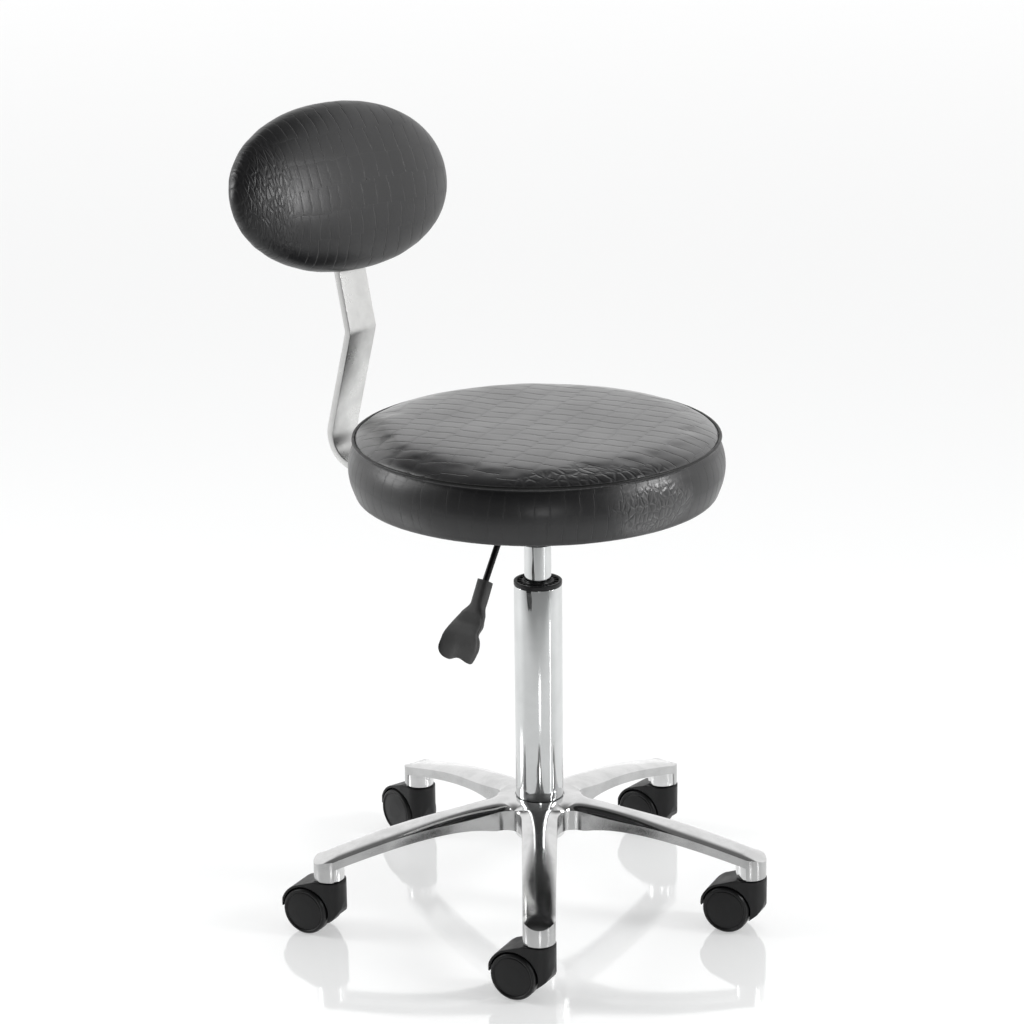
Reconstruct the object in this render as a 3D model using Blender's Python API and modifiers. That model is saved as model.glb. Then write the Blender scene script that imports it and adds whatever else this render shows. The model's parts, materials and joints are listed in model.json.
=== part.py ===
"""Rolling stylist stool: five-leg base on twin-wheel casters, gas column, round seat, oval backrest.

One object for each sub-part, in metres, +Z up. The sitter faces -Y and the backrest is at +Y.
The stool stands on z = 0, centred on the origin, so the column's axis is a little off it.
"""

import math

import bmesh
import bpy
from mathutils import Matrix, Vector

# Column axis, placed so that the whole stool is centred on the origin.
COLUMN_X = -0.0193
COLUMN_Y = -0.0321
GAP = 0.0003

# Die-cast base: five legs that arch down from the hub to a boss over each caster.
LEGS = 5
FIRST_LEG_DEG = -142.9
STEM_CIRCLE_R = 0.229
HUB_TOP_Z = 0.1230
HUB_RING_R = 0.0262
ARCH_START_R = 0.0253
HUB_R = 0.0270
HUB_BOTTOM_Z = 0.0790
HUB_BORE_TOP_R = 0.0223
HUB_BORE_BOTTOM_R = 0.0215
WEB_FILLET_R = 0.020
LEG_ROOT_HALF_W = 0.0185
LEG_TIP_HALF_W = 0.0165
LEG_WALL = 0.003
BOSS_BOTTOM_Z = 0.060
BOSS_R = 0.0154
BOSS_TOP_Z = 0.0772

# Gas column.
TUBE_R = 0.0250
TUBE_TOP_Z = 0.3560
TUBE_BOTTOM_Z = 0.0760
TUBE_FLOOR = 0.003
BUSH_TOP_Z = 0.3605
BUSH_LOW_Z = 0.300
ROD_R = 0.005
CYLINDER_R = 0.014
CYLINDER_LOW_Z = 0.150
CYLINDER_TAPER_Z = 0.401
CYLINDER_TOP_Z = 0.437
HEAD_Z = 0.275
PIN_R = 0.003
PIN_TOP_Z = 0.4432

# Seat.
SEAT_LOW_Z = 0.4550
SEAT_PIPING_Z = 0.5155
SEAT_PIPING_CORD_R = 0.0017
SEAT_CREST_Z = 0.5288
SEAT_FLAT_R = 0.030
SEAT_PIPING_R = 0.1862
SEAT_R = 0.1925
COVER = 0.0012
BOARD_LOW_Z = 0.4565
BOARD_T = 0.012
BOARD_R = 0.180
PLATE_LOW_Z = 0.4532
PLATE_T = 0.003
PLATE_HALF_X = 0.075
PLATE_HALF_Y = 0.095
SEAT_BOLT_X = 0.060
SEAT_BOLT_Y = 0.075
BOLT_R = 0.003

# Lever: a yoke pivoted under the plate, a bent rod and a moulded paddle, all in the plane y = 0.
PIVOT_X = -0.030
PIVOT_Z = 0.4461
PIVOT_R = 0.0022
YOKE_HALF_W = 0.0038
LEVER_CORNER_X = -0.047
LEVER_FALL_DEG = 58.0
LEVER_BEND_R = 0.010
LEVER_ROD_R = 0.0033
SLEEVE_FROM_CORNER = 0.075
ROD_IN_PADDLE = 0.0225
PADDLE_L = 0.088

# Backrest bar, bent from flat steel in the plane x = 0.
BAR_W = 0.042
BAR_T = 0.008
BAR_START_Y = 0.035
BAR_RUN_Z = 0.4460
BAR_LEAN_DEG = 14.6
BAR_KINK_Y = 0.2317
BAR_KINK_Z = 0.592
BAR_RECLINE_DEG = 11.8
BAR_BEND_UP = 0.068
BAR_TOP_LENGTH = 0.120
BAR_LOW_BEND_R = 0.032
BAR_KINK_R = 0.014
BAR_TOP_BEND_R = 0.040
BAR_BOLT_YS = (0.055, 0.080)

# Backrest pad, on the bar's top stretch, which leans further back. H is forward of the bar's middle.
PAD_RECLINE_DEG = 17.0
PAD_ROLL_DEG = -3.0
PAD_UP = 0.082
PAD_HALF_W = 0.1622
PAD_HALF_H = 0.0880
PAD_SQUARENESS = 2.09
PAD_BOARD_H = 0.0058
PAD_BOARD_T = 0.010
PAD_RIM_H = 0.0185
PAD_CREST_H = 0.0525
PAD_BACK_H = -0.0145
PAD_SCREW_UPS = (-0.022, 0.022)

# Twin-wheel casters: local +X is the trailing side, local Y the axle, origin on the floor.
CASTER_TRAIL_DEGS = (101.0, 104.0, 90.0, 76.0, 100.0)
WHEEL_R = 0.025
WHEEL_IN_Y = 0.0070
WHEEL_OUT_Y = 0.0205
AXLE_X = 0.0205
AXLE_R = 0.003
HOOD_R = 0.0290
HOOD_POCKET_R = 0.0263
HOUSING_HALF_W = 0.0185
HEAD_R = 0.0172
WEB_HALF_W = 0.0063
HOUSING_TOP_Z = 0.0590
STEM_R = 0.0055
STEM_LOW_R = 0.0040
STEM_TOP_Z = 0.0760
STEM_LOW_Z = 0.0335

SIDES = 32


def clear_scene():
    for obj in list(bpy.data.objects):
        bpy.data.objects.remove(obj, do_unlink=True)


def collection(name):
    made = bpy.data.collections.new(name)
    bpy.context.scene.collection.children.link(made)
    return made


def material(name, colour, roughness, metallic=0.0):
    made = bpy.data.materials.new(name)
    made.use_nodes = True
    shader = made.node_tree.nodes["Principled BSDF"]
    shader.inputs["Base Color"].default_value = (*colour, 1.0)
    shader.inputs["Roughness"].default_value = roughness
    shader.inputs["Metallic"].default_value = metallic
    return made


def empty(name, parent=None, at=(0, 0, 0), turn_z=0.0):
    made = bpy.data.objects.new(name, None)
    PARTS.objects.link(made)
    made.parent = parent
    made.location = at
    made.rotation_euler = (0, 0, turn_z)
    return made


def place(name, mesh, look, parent, matrix=None):
    """A new part, or a cutter where look is None."""
    obj = bpy.data.objects.new(name, mesh)
    (PARTS if look else CUTTERS).objects.link(obj)
    obj.parent = parent
    if matrix is not None:
        obj.matrix_local = matrix
    if look:
        mesh.materials.clear()
        mesh.materials.append(look)
    else:
        obj.hide_render = True
        obj.display_type = "WIRE"
    return obj


def bake(obj):
    """Turns the object's modifiers into its mesh, shaded smooth between sharp edges."""
    bpy.context.view_layer.update()
    graph = bpy.context.evaluated_depsgraph_get()
    mesh = bpy.data.meshes.new_from_object(obj.evaluated_get(graph))
    obj.modifiers.clear()
    obj.data = mesh
    mesh.shade_smooth()
    mesh.set_sharp_from_angle(angle=math.radians(35))
    return obj


def mesh_from(name, work):
    mesh = bpy.data.meshes.new(name)
    work.to_mesh(mesh)
    work.free()
    return mesh


def turned(name, profile, look, parent, closed=True, steps=SIDES, matrix=None):
    """A solid turned about local Z. The profile (radius, height) runs down its outer side.

    It is a closed loop for a ring, and starts and ends on the axis when closed is False.
    """
    work = bmesh.new()
    points = [work.verts.new((radius, 0, height)) for radius, height in profile]
    for first, second in zip(points, points[1:]):
        work.edges.new((first, second))
    if closed:
        work.edges.new((points[-1], points[0]))
    obj = place(name, mesh_from(name, work), look, parent, matrix)
    screw = obj.modifiers.new("turn", "SCREW")
    screw.steps = steps
    screw.render_steps = steps
    screw.use_merge_vertices = True
    screw.merge_threshold = 0.0001
    screw.use_smooth_shade = True
    return bake(obj)


def ring(inner, outer, low, high):
    return [(outer, high), (outer, low), (inner, low), (inner, high)]


def rod_profile(radius, low, high):
    return [(0, high), (radius, high), (radius, low), (0, low)]


def prism(name, outline, half_depth, look, parent, matrix=None):
    """An outline (x, z) extruded along local Y to both sides."""
    work = bmesh.new()
    face = work.faces.new([work.verts.new((x, -half_depth, z)) for x, z in outline])
    grown = bmesh.ops.extrude_face_region(work, geom=[face])
    moved = [item for item in grown["geom"] if isinstance(item, bmesh.types.BMVert)]
    bmesh.ops.translate(work, verts=moved, vec=(0, 2 * half_depth, 0))
    bmesh.ops.recalc_face_normals(work, faces=work.faces)
    return place(name, mesh_from(name, work), look, parent, matrix)


def block(work, low, high):
    middle = (Vector(low) + Vector(high)) / 2
    size = Vector(high) - Vector(low)
    bmesh.ops.create_cube(work, size=1, matrix=Matrix.Translation(middle) @ Matrix.Diagonal((*size, 1)))


def drum(work, x, y, low, high, low_r, high_r=None, sides=20):
    """An upright cylinder or cone added to work."""
    bmesh.ops.create_cone(
        work,
        cap_ends=True,
        segments=sides,
        radius1=low_r,
        radius2=low_r if high_r is None else high_r,
        depth=high - low,
        matrix=Matrix.Translation((x, y, (low + high) / 2)),
    )


def helper(name, work, parent):
    bmesh.ops.recalc_face_normals(work, faces=work.faces)
    return place(name, mesh_from(name, work), None, parent)


def boolean(obj, operation, other):
    modifier = obj.modifiers.new(operation.lower(), "BOOLEAN")
    modifier.operation = operation
    modifier.solver = "EXACT"
    modifier.object = other


def rounded_path(corners, radii, steps=4):
    """Points of a polyline in a plane whose inner corners are arcs of the given radii."""
    path = [Vector(corners[0])]
    for before, corner, after, radius in zip(corners, corners[1:], corners[2:], radii):
        corner = Vector(corner)
        back = (Vector(before) - corner).normalized()
        ahead = (Vector(after) - corner).normalized()
        half = back.angle(ahead) / 2
        centre = corner + (back + ahead).normalized() * (radius / math.sin(half))
        start = corner + back * (radius / math.tan(half)) - centre
        end = corner + ahead * (radius / math.tan(half)) - centre
        turn = math.atan2(start.x * end.y - start.y * end.x, start.dot(end))
        for step in range(steps + 1):
            path.append(centre + Matrix.Rotation(turn * step / steps, 2) @ start)
    path.append(Vector(corners[-1]))
    return path


def ridge_z(along):
    """Height of a leg's middle line at a distance from the column's axis."""
    return HUB_TOP_Z - 0.407 * max(along - ARCH_START_R, 0.0) ** 1.5


def side_drop(along):
    """How far a leg's top edge lies under its middle line."""
    ramp = min(max((along - HUB_RING_R * 0.81) / 0.018, 0.0), 1.0)
    return ramp * (0.0025 + 0.0040 * math.exp(-(((along - 0.078) / 0.045) ** 2)))


def leg_low_z(along):
    if along > STEM_CIRCLE_R - 0.0005:
        return BOSS_BOTTOM_Z + GAP
    return ridge_z(along) - min(0.0115 + 0.0145 * math.exp((0.055 - along) / 0.040), 0.026)


def leg_half_width(along):
    share = (along - 0.05) / (STEM_CIRCLE_R - 0.05)
    return LEG_ROOT_HALF_W + (LEG_TIP_HALF_W - LEG_ROOT_HALF_W) * share


def leg_rows():
    """Rows across a leg from the hub outwards: (side x, side y, middle x, span angle, free side)."""
    half = math.pi / LEGS
    rows = []
    for radius in (HUB_RING_R, 0.035):
        rows.append((radius * math.cos(half), radius * math.sin(half), radius, half, False))
    reach = (LEG_ROOT_HALF_W + WEB_FILLET_R) / math.sin(half)
    for step in range(4):
        angle = math.pi + half + step / 3 * (math.pi / 2 - half)
        x = reach * math.cos(half) + WEB_FILLET_R * math.cos(angle)
        y = reach * math.sin(half) + WEB_FILLET_R * math.sin(angle)
        rows.append((x, y, x + 0.006 * (1 - step / 3), half, True))
    for x in (0.080, 0.115, 0.150, 0.190, STEM_CIRCLE_R - 0.0010):
        rows.append((x, leg_half_width(x), x, half, True))
    tip_x = STEM_CIRCLE_R
    rows.append((tip_x, LEG_TIP_HALF_W, tip_x + LEG_TIP_HALF_W, math.pi / 2, True))
    return rows


def leg_point(row, across):
    side_x, side_y, middle_x, span, _ = row
    bow = (math.cos(span * across) - math.cos(span)) / (1 - math.cos(span))
    x = side_x + (middle_x - side_x) * bow
    y = side_y * math.sin(span * across) / math.sin(span)
    edge = max(abs(across), bow if span > 1.5 and x > STEM_CIRCLE_R else 0.0)
    return Vector((x, y, ridge_z(x) - side_drop(x) * edge**2.5))


def leg_skin(work, turn):
    """One leg's top and side walls, as an open skin."""
    rows = leg_rows()
    acrosses = (-1.0, -0.76, -0.42, 0.0, 0.42, 0.76, 1.0)
    turned_by = Matrix.Rotation(turn, 4, "Z")
    top = [[work.verts.new(turned_by @ leg_point(row, v)) for v in acrosses] for row in rows]

    def foot(row, v):
        point = leg_point(row, v)
        return work.verts.new(turned_by @ Vector((point.x, point.y, leg_low_z(point.x))))

    for first, second in zip(top, top[1:]):
        for j in range(len(acrosses) - 1):
            work.faces.new((first[j], second[j], second[j + 1], first[j + 1]))
    free = [i for i, row in enumerate(rows) if row[4]]
    feet = {(i, j): foot(rows[i], acrosses[j]) for i in free for j in (0, len(acrosses) - 1)}
    last = len(rows) - 1
    feet.update({(last, j): foot(rows[last], acrosses[j]) for j in range(1, len(acrosses) - 1)})
    for i in free[:-1]:
        j = len(acrosses) - 1
        work.faces.new((top[i + 1][0], top[i][0], feet[i, 0], feet[i + 1, 0]))
        work.faces.new((top[i][j], top[i + 1][j], feet[i + 1, j], feet[i, j]))
    for j in range(len(acrosses) - 1):
        work.faces.new((top[last][j + 1], top[last][j], feet[last, j], feet[last, j + 1]))


def leg_turn(k):
    return math.radians(FIRST_LEG_DEG + k * 360 / LEGS)


def stem_place(k):
    return (STEM_CIRCLE_R * math.cos(leg_turn(k)), STEM_CIRCLE_R * math.sin(leg_turn(k)))


def make_base_star(stool):
    work = bmesh.new()
    for k in range(LEGS):
        leg_skin(work, leg_turn(k))
    bmesh.ops.remove_doubles(work, verts=work.verts, dist=0.00002)
    star = place("base_star", mesh_from("base_star", work), POLISHED, stool)
    shell = star.modifiers.new("wall", "SOLIDIFY")
    shell.thickness = LEG_WALL
    shell.offset = -1
    shell.use_even_offset = True
    work = bmesh.new()
    drum(work, 0, 0, HUB_BOTTOM_Z, HUB_TOP_Z - 0.0015, HUB_R - 0.001, HUB_R, sides=SIDES)
    for k in range(LEGS):
        drum(work, *stem_place(k), BOSS_BOTTOM_Z, BOSS_TOP_Z, BOSS_R)
    boolean(star, "UNION", helper("hub_and_bosses", work, stool))
    work = bmesh.new()
    drum(work, 0, 0, HUB_BOTTOM_Z - 0.01, HUB_TOP_Z + 0.01, HUB_BORE_BOTTOM_R, HUB_BORE_TOP_R, sides=SIDES)
    for k in range(LEGS):
        drum(work, *stem_place(k), BOSS_BOTTOM_Z - 0.01, BOSS_TOP_Z + 0.0016, STEM_R + GAP)
    boolean(star, "DIFFERENCE", helper("bore_cutter", work, stool))
    bake(star)


def make_column(stool):
    seat_z = HUB_TOP_Z - 0.0012
    plug_r = HUB_BORE_TOP_R - GAP * 1.5
    foot_r = HUB_BORE_BOTTOM_R - GAP * 1.5
    bore_r = 0.0232
    low_bore_r = 0.0198
    tube = [
        (TUBE_R, TUBE_TOP_Z),
        (TUBE_R, seat_z),
        (plug_r, seat_z),
        (foot_r, TUBE_BOTTOM_Z),
        (ROD_R + GAP, TUBE_BOTTOM_Z),
        (ROD_R + GAP, TUBE_BOTTOM_Z + TUBE_FLOOR),
        (low_bore_r, TUBE_BOTTOM_Z + TUBE_FLOOR),
        (low_bore_r, seat_z),
        (bore_r, seat_z + 0.010),
        (bore_r, TUBE_TOP_Z),
    ]
    turned("column_tube", tube, CHROME, stool)
    flange_z = TUBE_TOP_Z + GAP
    bush = [
        (TUBE_R, BUSH_TOP_Z),
        (TUBE_R, flange_z),
        (bore_r - GAP, flange_z),
        (bore_r - GAP, BUSH_LOW_Z),
        (CYLINDER_R + GAP, BUSH_LOW_Z),
        (CYLINDER_R + GAP, BUSH_TOP_Z),
        (0.0165, BUSH_TOP_Z),
        (0.0170, BUSH_TOP_Z - 0.003),
        (0.0215, BUSH_TOP_Z - 0.003),
        (0.0220, BUSH_TOP_Z),
    ]
    turned("guide_bush", bush, BLACK_PLASTIC, stool)
    floor_z = TUBE_BOTTOM_Z + TUBE_FLOOR
    bearing = ring(ROD_R + 2 * GAP, 0.0130, floor_z + GAP, floor_z + 0.0065)
    turned("thrust_bearing", bearing, STEEL, stool, steps=24)


def make_piston(spindle):
    floor_z = TUBE_BOTTOM_Z + TUBE_FLOOR
    collar_z = floor_z + 0.0065 + GAP
    rod = [
        (0, HEAD_Z + 0.020),
        (0.0035, HEAD_Z + 0.020),
        (0.0035, HEAD_Z),
        (ROD_R, HEAD_Z),
        (ROD_R, collar_z + 0.003),
        (0.0080, collar_z + 0.003),
        (0.0080, collar_z),
        (ROD_R, collar_z),
        (ROD_R, TUBE_BOTTOM_Z - 0.001),
        (0.0036, TUBE_BOTTOM_Z - 0.001),
        (0.0036, TUBE_BOTTOM_Z - 0.003),
        (ROD_R, TUBE_BOTTOM_Z - 0.003),
        (ROD_R, TUBE_BOTTOM_Z - 0.006),
        (0, TUBE_BOTTOM_Z - 0.006),
    ]
    turned("piston_rod", rod, CHROME, spindle, closed=False, steps=20)
    head = ring(0.0035 + GAP, 0.0118, HEAD_Z + GAP, HEAD_Z + 0.016)
    turned("piston_head", head, STEEL, spindle, steps=20)
    clip = ring(0.0036 + GAP, 0.0090, TUBE_BOTTOM_Z - 0.0027, TUBE_BOTTOM_Z - 0.0013)
    turned("rod_clip", clip, STEEL, spindle, steps=20)
    bumper_z = collar_z + 0.003 + GAP
    bumper = [
        (0.0125, bumper_z + 0.012),
        (0.0145, bumper_z + 0.006),
        (0.0125, bumper_z),
        (ROD_R + GAP, bumper_z),
        (ROD_R + GAP, bumper_z + 0.012),
    ]
    turned("bumper", bumper, RUBBER, spindle, steps=20)


def make_gas_cylinder(seat):
    bore_r = 0.0122
    roof_z = CYLINDER_TOP_Z - 0.016
    cylinder = [
        (PIN_R + GAP, CYLINDER_TOP_Z),
        (0.0133, CYLINDER_TOP_Z),
        (CYLINDER_R - 0.0001, CYLINDER_TAPER_Z),
        (CYLINDER_R, CYLINDER_TAPER_Z - 0.002),
        (CYLINDER_R, CYLINDER_LOW_Z),
        (bore_r, CYLINDER_LOW_Z),
        (bore_r, roof_z),
        (PIN_R + GAP, roof_z),
    ]
    turned("gas_cylinder", cylinder, CHROME, seat)
    guide = ring(ROD_R + GAP, bore_r - GAP, CYLINDER_LOW_Z + 0.001, CYLINDER_LOW_Z + 0.016)
    turned("rod_guide", guide, BLACK_PLASTIC, seat, steps=24)
    pin = [(0, PIN_TOP_Z), (0.0014, PIN_TOP_Z), (PIN_R, PIN_TOP_Z - 0.0015), (PIN_R, 0.4270), (0, 0.4270)]
    turned("valve_pin", pin, STEEL, seat, closed=False, steps=16)
    chamber_z = CYLINDER_TOP_Z + GAP
    socket = [
        (0.0200, PLATE_LOW_Z - GAP),
        (0.0200, CYLINDER_TAPER_Z + 0.0015),
        (0.0188, CYLINDER_TAPER_Z),
        (CYLINDER_R + 0.0003, CYLINDER_TAPER_Z),
        (0.0133 + 0.0004, chamber_z),
        (0.0155, chamber_z),
        (0.0155, PLATE_LOW_Z - GAP),
    ]
    taper = turned("taper_socket", socket, PAINTED, seat)
    work = bmesh.new()
    block(work, (-0.024, -0.0052, chamber_z + 0.0022), (-0.010, 0.0052, PLATE_LOW_Z + 0.002))
    boolean(taper, "DIFFERENCE", helper("lever_slot_cutter", work, seat))
    bake(taper)


def bolt_holes(work, low, high, radius):
    for x in (-SEAT_BOLT_X, SEAT_BOLT_X):
        for y in (-SEAT_BOLT_Y, SEAT_BOLT_Y):
            drum(work, x, y, low, high, radius, sides=12)
    for y in BAR_BOLT_YS:
        drum(work, 0, y, low, high, radius, sides=12)


def bolt_profile(under_z, shank_top_z, head_r=0.0055, head_t=0.004, shank_r=BOLT_R):
    return [
        (0, shank_top_z),
        (shank_r, shank_top_z),
        (shank_r, under_z),
        (head_r, under_z),
        (head_r, under_z - head_t),
        (0, under_z - head_t),
    ]


def make_seat_frame(seat):
    work = bmesh.new()
    high = PLATE_LOW_Z + PLATE_T
    block(work, (-PLATE_HALF_X, -PLATE_HALF_Y, PLATE_LOW_Z), (PLATE_HALF_X, PLATE_HALF_Y, high))
    upright = [edge for edge in work.edges if abs((edge.verts[0].co - edge.verts[1].co).z) > 0.001]
    bmesh.ops.bevel(work, geom=upright, offset=0.018, segments=4, affect="EDGES")
    plate = place("seat_plate", mesh_from("seat_plate", work), PAINTED, seat)
    work = bmesh.new()
    for side in (-1, 1):
        inner, outer = sorted((side * 0.0045, side * 0.0072))
        block(work, (PIVOT_X - 0.006, inner, PIVOT_Z - 0.006), (PIVOT_X + 0.006, outer, PLATE_LOW_Z + 0.001))
    boolean(plate, "UNION", helper("pivot_ears", work, seat))
    work = bmesh.new()
    bolt_holes(work, PLATE_LOW_Z - 0.01, high + 0.01, BOLT_R + GAP)
    across = Matrix.Translation((PIVOT_X, 0, PIVOT_Z)) @ Matrix.Rotation(math.pi / 2, 4, "X")
    bmesh.ops.create_cone(
        work, cap_ends=True, segments=16, radius1=PIVOT_R + GAP, radius2=PIVOT_R + GAP, depth=0.03, matrix=across
    )
    boolean(plate, "DIFFERENCE", helper("plate_hole_cutter", work, seat))
    bake(plate)

    under_z = PLATE_LOW_Z - GAP
    bolt_top_z = BOARD_LOW_Z + 0.009
    number = 1
    for x in (-SEAT_BOLT_X, SEAT_BOLT_X):
        for y in (-SEAT_BOLT_Y, SEAT_BOLT_Y):
            at = Matrix.Translation((x, y, 0))
            profile = bolt_profile(under_z, bolt_top_z)
            turned(f"seat_bolt_{number}", profile, STEEL, seat, closed=False, steps=12, matrix=at)
            number += 1
    for number, y in enumerate(BAR_BOLT_YS, 1):
        at = Matrix.Translation((0, y, 0))
        profile = bolt_profile(BAR_RUN_Z - BAR_T / 2 - GAP, bolt_top_z, 0.0065)
        turned(f"bar_bolt_{number}", profile, STEEL, seat, closed=False, steps=12, matrix=at)

    board = turned(
        "seat_board", rod_profile(BOARD_R, BOARD_LOW_Z, BOARD_LOW_Z + BOARD_T), PLYWOOD, seat, closed=False, steps=40
    )
    work = bmesh.new()
    bolt_holes(work, BOARD_LOW_Z - 0.01, bolt_top_z + GAP, BOLT_R + GAP)
    boolean(board, "DIFFERENCE", helper("board_hole_cutter", work, seat))
    bake(board)


def seat_outline():
    """The cover's outer line from the crest down to the turned-under hem."""
    drop = SEAT_CREST_Z - SEAT_PIPING_Z + 0.0018
    seam_r = SEAT_PIPING_R - 0.003
    points = [(0, SEAT_CREST_Z)]
    for radius in (SEAT_FLAT_R, 0.105, 0.145, 0.165, 0.176, 0.181, seam_r):
        share = (radius - SEAT_FLAT_R) / (seam_r - SEAT_FLAT_R)
        points.append((radius, SEAT_CREST_Z - drop * (1 - math.sqrt(1 - share**5.5))))
    high = SEAT_PIPING_Z - 0.005
    low = SEAT_LOW_Z + 0.006
    for step in range(4):
        share = step / 3
        bulge = math.sin(math.pi * (0.12 + 0.76 * share))
        points.append((SEAT_R - 0.0095 * (1 - bulge), high + (low - high) * share))
    corner_r = SEAT_R - 0.0075
    points.append((corner_r, SEAT_LOW_Z))
    points.append((0.160, SEAT_LOW_Z))
    return points


def inward(points, distance):
    """The same line moved to its inner side, which is on the right when walking down the outer side."""
    moved = []
    for i, point in enumerate(points):
        before = Vector(points[max(i - 1, 0)])
        after = Vector(points[min(i + 1, len(points) - 1)])
        ahead = (after - before).normalized()
        inner = Vector((ahead.y, -ahead.x))
        radius = 0.0 if point[0] == 0 else point[0] + inner.x * distance
        moved.append((radius, point[1] + inner.y * distance))
    return moved


def make_seat_cushion(seat):
    outer = seat_outline()
    inner = inward(outer, COVER)
    inner[-1] = (outer[-1][0], outer[-1][1] + COVER)
    inner[-2] = (outer[-2][0] - 0.0006, outer[-2][1] + COVER)
    turned("seat_cover", outer + inner[::-1], VINYL, seat, closed=False, steps=44)
    foam = inward(outer, COVER + 2 * GAP)[:-2]
    low = BOARD_LOW_Z + BOARD_T + GAP
    foam = [point for point in foam if point[1] > low] + [(foam[-1][0], low), (0, low)]
    turned("seat_foam", foam, FOAM, seat, closed=False, steps=40)
    cord = []
    for step in range(6):
        turn = step * math.pi / 3
        radius = SEAT_PIPING_R + SEAT_PIPING_CORD_R * math.sin(turn)
        cord.append((radius, SEAT_PIPING_Z + SEAT_PIPING_CORD_R * math.cos(turn)))
    turned("seat_piping", cord, VINYL, seat, steps=48)


def make_lever(lever):
    """The lever's empty is on the pivot; its parts are drawn about the column axis."""
    back = Matrix.Translation((-PIVOT_X, 0, -PIVOT_Z))
    hub = [
        (PIVOT_X + 0.0055 * math.cos(t), PIVOT_Z + 0.0055 * math.sin(t))
        for t in (math.radians(40 + 20 * step) for step in range(15))
    ]
    arm_low = PIN_TOP_Z + GAP
    arm = [(0.0035, arm_low), (0.0035, arm_low + 0.0045), (-0.022, arm_low + 0.0045)]
    tail = [(-0.0385, PIVOT_Z + 0.0045), (-0.0385, PIVOT_Z - 0.0045)]
    upper = [point for point in hub if point[1] > PIVOT_Z and point[0] > PIVOT_X - 0.003]
    lower = [point for point in hub if point[1] < PIVOT_Z and point[0] > PIVOT_X - 0.003]
    outline = arm + upper + tail + lower + [(-0.022, arm_low)]
    yoke = prism("lever_yoke", outline, YOKE_HALF_W, PAINTED, lever, back)
    work = bmesh.new()
    bmesh.ops.create_cone(
        work,
        cap_ends=True,
        segments=16,
        radius1=PIVOT_R + 0.0004,
        radius2=PIVOT_R + 0.0004,
        depth=0.02,
        matrix=Matrix.Rotation(math.pi / 2, 4, "X"),
    )
    boolean(yoke, "DIFFERENCE", helper("yoke_bore_cutter", work, lever))
    bake(yoke)
    make_lever_rod(lever, back)
    make_paddle(lever, back)


def lever_line():
    """(corner, direction) of the lever's sloping stretch, in the plane y = 0."""
    fall = math.radians(LEVER_FALL_DEG)
    return Vector((LEVER_CORNER_X, PIVOT_Z)), Vector((-math.cos(fall), -math.sin(fall)))


def make_lever_rod(lever, back):
    corner, down = lever_line()
    end = corner + down * (SLEEVE_FROM_CORNER + ROD_IN_PADDLE)
    path = rounded_path([(-0.0388, PIVOT_Z), corner, end], [LEVER_BEND_R])
    curve = bpy.data.curves.new("lever_rod_path", "CURVE")
    curve.dimensions = "3D"
    spline = curve.splines.new("POLY")
    spline.points.add(len(path) - 1)
    for point, spot in zip(spline.points, path):
        point.co = (spot.x, 0, spot.y, 1)
    curve.bevel_depth = LEVER_ROD_R
    curve.bevel_resolution = 2
    curve.use_fill_caps = True
    guide = place("lever_rod_guide", curve, None, lever, back)
    bpy.context.view_layer.update()
    graph = bpy.context.evaluated_depsgraph_get()
    work = bmesh.new()
    work.from_mesh(bpy.data.meshes.new_from_object(guide.evaluated_get(graph)))
    bmesh.ops.remove_doubles(work, verts=work.verts, dist=0.00001)
    bpy.data.objects.remove(guide, do_unlink=True)
    bake(place("lever_rod", mesh_from("lever_rod", work), BLACK_STEEL, lever, back))


def paddle_rows():
    """(along, half width, half thickness, bow, rise) of the paddle from its sleeve to its end."""
    return [
        (0.0, 0.0072, 0.0070, 0.0, 0.0),
        (0.024, 0.0078, 0.0072, 0.0, 0.0),
        (0.032, 0.0120, 0.0068, 0.0, 0.0018),
        (0.042, 0.0178, 0.0056, -0.0010, 0.0058),
        (0.054, 0.0222, 0.0048, -0.0030, 0.0098),
        (0.067, 0.0252, 0.0046, -0.0034, 0.0120),
        (0.079, 0.0246, 0.0044, -0.0022, 0.0120),
        (PADDLE_L, 0.0180, 0.0034, 0.0, 0.0105),
    ]


def paddle_frame():
    """Paddle axes: local X across, local Y along the lever, local Z out of its upper face."""
    corner, down = lever_line()
    start = corner + down * SLEEVE_FROM_CORNER
    across = Vector((0, 1, 0))
    along = Vector((down.x, 0, down.y))
    axes = Matrix((across, along, across.cross(along))).transposed().to_4x4()
    return Matrix.Translation((start.x, 0, start.y)) @ axes


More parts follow.
